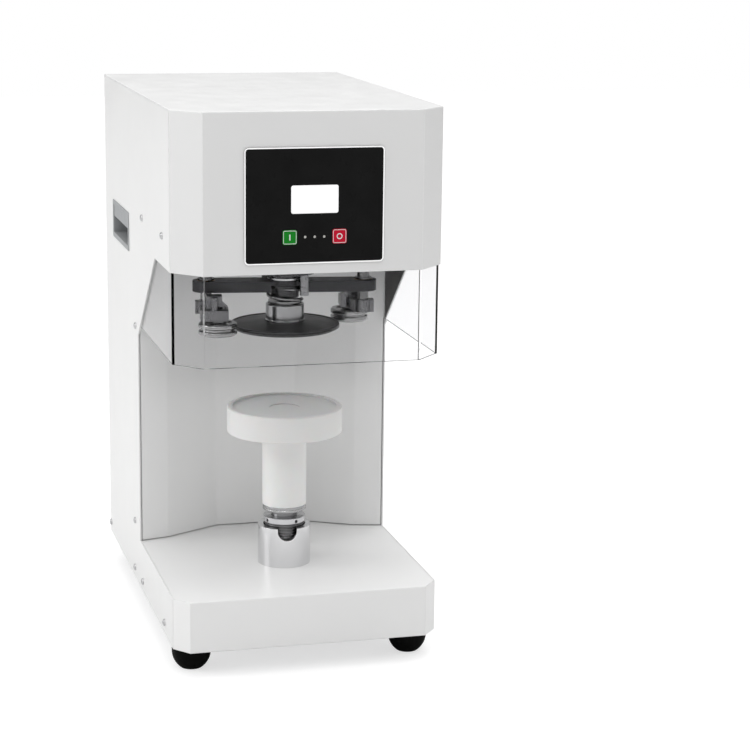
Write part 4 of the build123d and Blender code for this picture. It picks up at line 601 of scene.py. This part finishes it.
# Pieces that turn on their own axes get lathe lines centred on themselves; their greys go from dark to pale, the dark
# ones painted shade and dark reflection under the head, with pale edges as a painted highlight
ownAxesPaintedShade = {
    "seaming_roller_a": 0.26, "seaming_roller_b": 0.26, "roller_pin_a": 0.3, "roller_pin_b": 0.3,
    "pivot_shaft_a": 0.15, "pivot_shaft_b": 0.15, "fork_screw": 0.6,
}
for nodeName, shade in ownAxesPaintedShade.items():
    low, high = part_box(nodeName)
    middle = ((low.x + high.x) / 2, (low.y + high.y) / 2)
    own = dict(brightSteel, name="turned." + nodeName, colour=(shade,) * 3, lineColour=(shade * 1.3,) * 3,
               edgeTintAndPaintedLight=(min(shade * 3.0, 0.85),) * 3, roughness=0.17)
    finishNodes(turnedMetal(own, middle), nodeName)
print("finishes on", len(bpy.data.materials), "materials")


# New pieces are closed grids: a closed section carried round a closed path
def closedGrid(name, points, material, body):
    # points is an array (along, across, 3); both directions close on themselves
    along, across = points.shape[:2]
    index = np.arange(along * across).reshape(along, across)
    nextAlong = np.roll(index, -1, axis=0)
    nextAcross = np.roll(index, -1, axis=1)
    both = np.roll(nextAlong, -1, axis=1)
    faces = np.stack([index, nextAlong, both, nextAcross], axis=-1).reshape(-1, 4)
    mesh = bpy.data.meshes.new(name)
    mesh.from_pydata(points.reshape(-1, 3).tolist(), [], faces.tolist())
    mesh.update()
    mesh.materials.append(material)
    piece = bpy.data.objects.new(name, mesh)
    bpy.context.scene.collection.objects.link(piece)
    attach(piece, body)
    return piece


def roundedLoop(halfWide, halfHigh, corner, steps):
    # Rounded rectangle: each corner's centre plus its radius times (cos, sin) of the angle
    angle = (np.arange(4)[:, None] * 90.0 + np.linspace(0.0, 90.0, steps)[None, :]).ravel()
    quarter = np.repeat(np.arange(4), steps)
    signX = np.where((quarter == 0) | (quarter == 3), 1.0, -1.0)
    signZ = np.where(quarter < 2, 1.0, -1.0)
    turn = np.radians(angle)
    x = signX * (halfWide - corner) + corner * np.cos(turn)
    z = signZ * (halfHigh - corner) + corner * np.sin(turn)
    return np.stack([x, z], axis=-1)


def frontBand(name, settings, material, body):
    # Flat band for printed marks and for the painted highlight line round the film: the outer and inner loops, each
    # at the back and at the front face
    cornerSteps, sharpest = 9, 0.00005
    wide, high, corner, band = (settings[k] for k in ("halfWide", "halfHigh", "corner", "band"))
    outer = roundedLoop(wide, high, corner, cornerSteps)
    inner = roundedLoop(wide - band, high - band, max(corner - band, sharpest), cornerSteps)
    rings = []
    for loop, proud in ((outer, 0.0), (outer, settings["proud"]), (inner, settings["proud"]), (inner, 0.0)):
        depth = np.full(len(loop), settings["y"] - proud)
        rings.append(np.stack([loop[:, 0] + settings["x"], depth, loop[:, 1] + settings["z"]], axis=-1))
    return closedGrid(name, np.stack(rings, axis=1), material, body)


whiteInk = dict(
    panelFilm, name="whitePrint", colour=(0.85, 0.85, 0.85), cloudColour=(0.8, 0.8, 0.8),
    edgeTintAndPaintedLight=(0.85, 0.85, 0.85), roughness=0.45,
)
inkMaterial = mouldedPlastic(whiteInk)
# The bright line round the film is a painted highlight with a painted glow, standing in for light caught on the
# label's edge
filmEdgeHighlightInk = dict(whiteInk, name="paintedFilmEdgeHighlight", colour=(0.98, 0.98, 0.98), cloudColour=(0.95, 0.95, 0.95),
                 edgeTintAndPaintedLight=(1.0, 1.0, 1.0), glow=0.3)
filmEdgeHighlightMaterial = mouldedPlastic(filmEdgeHighlightInk)
inkDepth = 0.00003
filmLow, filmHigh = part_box("control_overlay")
filmEdgeHighlight = {
    "halfWide": (filmHigh.x - filmLow.x) / 2, "halfHigh": (filmHigh.z - filmLow.z) / 2, "corner": 0.004,
    "band": 0.0011, "x": 0.0, "y": filmLow.y, "z": (filmHigh.z + filmLow.z) / 2, "proud": inkDepth,
}
frontBand("filmEdgeHighlight", filmEdgeHighlight, filmEdgeHighlightMaterial, "case")
for nodeName, bodyName, sign in (("green_key", "start_key", "bar"), ("red_key", "stop_key", "ring")):
    low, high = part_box(nodeName)
    centre = {"x": (low.x + high.x) / 2, "y": low.y, "z": (low.z + high.z) / 2, "proud": inkDepth}
    outline = dict(centre, halfWide=0.0062, halfHigh=0.0062, corner=0.0015, band=0.0005)
    frontBand(nodeName + ".outline", outline, inkMaterial, bodyName)
    if sign == "bar":
        mark = dict(centre, halfWide=0.0006, halfHigh=0.0028, corner=0.0005, band=0.00055)
    else:
        mark = dict(centre, halfWide=0.0028, halfHigh=0.0028, corner=0.0028, band=0.0009)
    frontBand(nodeName + ".sign", mark, inkMaterial, bodyName)
print("printed marks made")


def crossRecessShade(name, places, outward, arm, body):
    # One dark cross per screw, painted shade standing in for the recess: two thin boxes at right angles, as the eight
    # corners of each box in one array
    outward = np.array(outward, float)
    side = np.array([0.0, 1.0, 0.0]) if abs(outward[0]) > 0.5 else np.array([1.0, 0.0, 0.0])
    up = np.array([0.0, 0.0, 1.0])
    signs = np.array([[a, b, c] for a in (-1, 1) for b in (-1, 1) for c in (-1, 1)], float)
    corners = []
    for wide, high in ((arm["long"], arm["wide"]), (arm["wide"], arm["long"])):
        box = signs[:, :1] * side * wide / 2 + signs[:, 1:2] * up * high / 2 + signs[:, 2:] * outward * arm["proud"]
        corners.append(box)
    boxes = np.stack(corners)                                    # (box, corner, axis)
    points = np.asarray(places)[:, None, None, :] + boxes[None]  # (screw, box, corner, axis)
    # Corner numbers of a box's six faces
    quads = np.array([[0, 1, 3, 2], [4, 6, 7, 5], [0, 4, 5, 1], [2, 3, 7, 6], [0, 2, 6, 4], [1, 5, 7, 3]])
    count = points.shape[0] * 2
    faces = (np.arange(count)[:, None, None] * 8 + quads[None]).reshape(-1, 4)
    mesh = bpy.data.meshes.new(name)
    mesh.from_pydata(points.reshape(-1, 3).tolist(), [], faces.tolist())
    mesh.update()
    mesh.materials.append(bpy.data.materials["blackMoulding"])
    piece = bpy.data.objects.new(name, mesh)
    bpy.context.scene.collection.objects.link(piece)
    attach(piece, body)
    return piece


# Places are (y, z) on the sides and (x, z) at the back, from the front edge and the lower row of screws
recess = {"long": 0.0034, "wide": 0.0008, "proud": 0.000015}
frontEdge, lowRow, upperRow = -0.2185, 0.0375, 0.4185
sideHeadFace, rearHeadFace, rearColumn = 0.132, 0.2205, 0.1185
sideRows = [
    (frontEdge + 0.068, upperRow), (frontEdge + 0.186, upperRow), (0.016, 0.301), (0.0335, 0.09),
    (frontEdge + 0.073, lowRow), (frontEdge + 0.205, lowRow), (frontEdge + 0.256, lowRow), (0.2115, lowRow),
]
for sideName, sign in (("leftCrosses", -1.0), ("rightCrosses", 1.0)):
    places = [(sign * sideHeadFace, y, z) for y, z in sideRows]
    crossRecessShade(sideName, places, (sign, 0.0, 0.0), recess, "case")
rearPlaces = [(x, rearHeadFace, z) for x in (-rearColumn, rearColumn) for z in (lowRow, 0.2, 0.4, 0.526)]
crossRecessShade("rearCrosses", rearPlaces, (0.0, 1.0, 0.0), recess, "case")
print("screw recesses made")


# Studio: white floor that keeps the shadow, soft sky, lamps from the left, the front and above
# The wall stops are (bearing round the machine from 0 to 1 with the front at 0.5, grey level)
studio = {
    "base": 0.575, "slope": (0.109, 0.5, 0.497), "darkest": 0.05,
    "floorGlow": 0.64, "floorSeen": 0.5, "floorColour": 0.8, "floorReach": 6.0,
    "wallTop": (0.15, 0.35), "aboveWalls": 0.75,
    "wallStops": [
        (0.0, 0.12), (0.08, 0.2), (0.15, 0.32), (0.24, 0.38), (0.29, 0.65), (0.33, 0.88), (0.4, 0.95), (0.47, 1.0),
        (0.56, 0.88), (0.62, 0.7), (0.68, 0.35), (0.73, 0.12), (0.88, 0.1), (0.95, 0.15), (1.0, 0.12),
    ],
}


def viewMask(tree, path):
    # 1 where the view comes straight or through the clear guard only, so before any bounce
    bounces = mathNode(tree, "ADD", path.outputs["Diffuse Depth"], path.outputs["Glossy Depth"])
    unbounced = mathNode(tree, "LESS_THAN", bounces, 0.5)
    through = mathNode(tree, "MULTIPLY", path.outputs["Is Transmission Ray"], unbounced)
    return mathNode(tree, "MAXIMUM", path.outputs["Is Camera Ray"], through)


def makeFloor(settings):
    # In view the floor glows up to white, so only the shadow stays; to other light it is pale paper
    mesh = bpy.data.meshes.new("floor")
    reach = settings["floorReach"]
    corners = [(-reach, -reach, 0), (reach, -reach, 0), (reach, reach, 0), (-reach, reach, 0)]
    mesh.from_pydata(corners, [], [(0, 1, 2, 3)])
    floor = bpy.data.objects.new("floor", mesh)
    bpy.context.scene.collection.objects.link(floor)
    material = bpy.data.materials.new("studioFloor")
    material.use_nodes = True
    tree = material.node_tree
    tree.nodes.clear()
    path = tree.nodes.new("ShaderNodeLightPath")
    lit = addNode(tree, "ShaderNodeBsdfDiffuse")
    plain, seen = settings["floorColour"], settings["floorSeen"]
    inView = viewMask(tree, path)
    colour = mixColour(tree, inView, (plain,) * 3, (seen,) * 3)
    join(tree, colour, lit.inputs["Color"])
    glow = addNode(tree, "ShaderNodeEmission", Color=(1.0, 1.0, 1.0, 1.0))
    join(tree, mathNode(tree, "MULTIPLY", inView, settings["floorGlow"]), glow.inputs["Strength"])
    both = tree.nodes.new("ShaderNodeAddShader")
    output = tree.nodes.new("ShaderNodeOutputMaterial")
    join(tree, lit.outputs["BSDF"], both.inputs[0])
    join(tree, glow.outputs["Emission"], both.inputs[1])
    join(tree, both.outputs["Shader"], output.inputs["Surface"])
    mesh.materials.append(material)


def makeSky(settings):
    # Diffuse light grows towards the top and the back; metal sees pale walls with dark cards between them
    world = bpy.data.worlds.new("studioSky")
    world.use_nodes = True
    tree = world.node_tree
    tree.nodes.clear()
    coords = tree.nodes.new("ShaderNodeTexCoord")
    dot = tree.nodes.new("ShaderNodeVectorMath")
    dot.operation = "DOT_PRODUCT"
    dot.inputs[1].default_value = settings["slope"]
    join(tree, coords.outputs["Generated"], dot.inputs[0])
    level = mathNode(tree, "ADD", dot.outputs["Value"], settings["base"])
    soft = mathNode(tree, "MAXIMUM", level, settings["darkest"])
    parts = tree.nodes.new("ShaderNodeSeparateXYZ")
    join(tree, coords.outputs["Generated"], parts.inputs["Vector"])
    towardsFront = mathNode(tree, "MULTIPLY", parts.outputs["Y"], -1.0)
    bearing = mathNode(tree, "ARCTAN2", parts.outputs["X"], towardsFront)
    round01 = mathNode(tree, "ADD", mathNode(tree, "DIVIDE", bearing, 2.0 * math.pi), 0.5)
    ramp = tree.nodes.new("ShaderNodeValToRGB")
    stops = settings["wallStops"]
    elements = ramp.color_ramp.elements
    for element, (position, grade) in zip(elements, (stops[0], stops[-1])):
        element.position = position
        element.color = (grade,) * 3 + (1.0,)
    for position, grade in stops[1:-1]:
        elements.new(position).color = (grade,) * 3 + (1.0,)
    join(tree, round01, ramp.inputs["Fac"])
    high = addNode(tree, "ShaderNodeMapRange")
    high.inputs["From Min"].default_value, high.inputs["From Max"].default_value = settings["wallTop"]
    join(tree, parts.outputs["Z"], high.inputs["Value"])
    mirrored = mixColour(tree, high.outputs["Result"], ramp.outputs["Color"], (settings["aboveWalls"],) * 3)
    path = tree.nodes.new("ShaderNodeLightPath")
    grey = tree.nodes.new("ShaderNodeCombineXYZ")
    for axis in "XYZ":
        join(tree, soft, grey.inputs[axis])
    inView = viewMask(tree, path)
    viaMetal = mathNode(tree, "GREATER_THAN", path.outputs["Glossy Depth"], 0.5)
    viaPaint = mathNode(tree, "LESS_THAN", path.outputs["Diffuse Depth"], 0.5)
    onlyMetal = mathNode(tree, "MULTIPLY", viaMetal, viaPaint)
    reflected = mixColour(tree, onlyMetal, grey.outputs["Vector"], mirrored)
    shown = mixColour(tree, inView, reflected, (1.0, 1.0, 1.0))
    sky = addNode(tree, "ShaderNodeBackground", Strength=1.0)
    output = tree.nodes.new("ShaderNodeOutputWorld")
    join(tree, shown, sky.inputs["Color"])
    join(tree, sky.outputs["Background"], output.inputs["Surface"])
    bpy.context.scene.world = world


# Square lamps that all face the machine: name, place, width, watts
lampAim = (0.0, 0.0, 0.3)
lamps = [
    ("keyLamp", (-1.3, -1.5, 1.7), 1.0, 4.0),
    ("sideLamp", (-1.9, 0.1, 1.0), 1.0, 8.1),
    ("frontLamp", (-0.3, -1.6, 2.0), 1.0, 6.2),
    ("topLamp", (0.2, -0.3, 2.1), 1.3, 8.6),
]


def makeLamp(name, place, target, size, power):
    data = bpy.data.lights.new(name, "AREA")
    data.shape = "SQUARE"
    data.size = size
    data.energy = power
    lamp = bpy.data.objects.new(name, data)
    direction = Vector(target) - Vector(place)
    lamp.matrix_world = Matrix.Translation(place) @ direction.to_track_quat("-Z", "Y").to_matrix().to_4x4()
    bpy.context.scene.collection.objects.link(lamp)


makeFloor(studio)
makeSky(studio)
for lampName, lampPlace, lampSize, lampPower in lamps:
    makeLamp(lampName, lampPlace, lampAim, lampSize, lampPower)
print("studio lit")
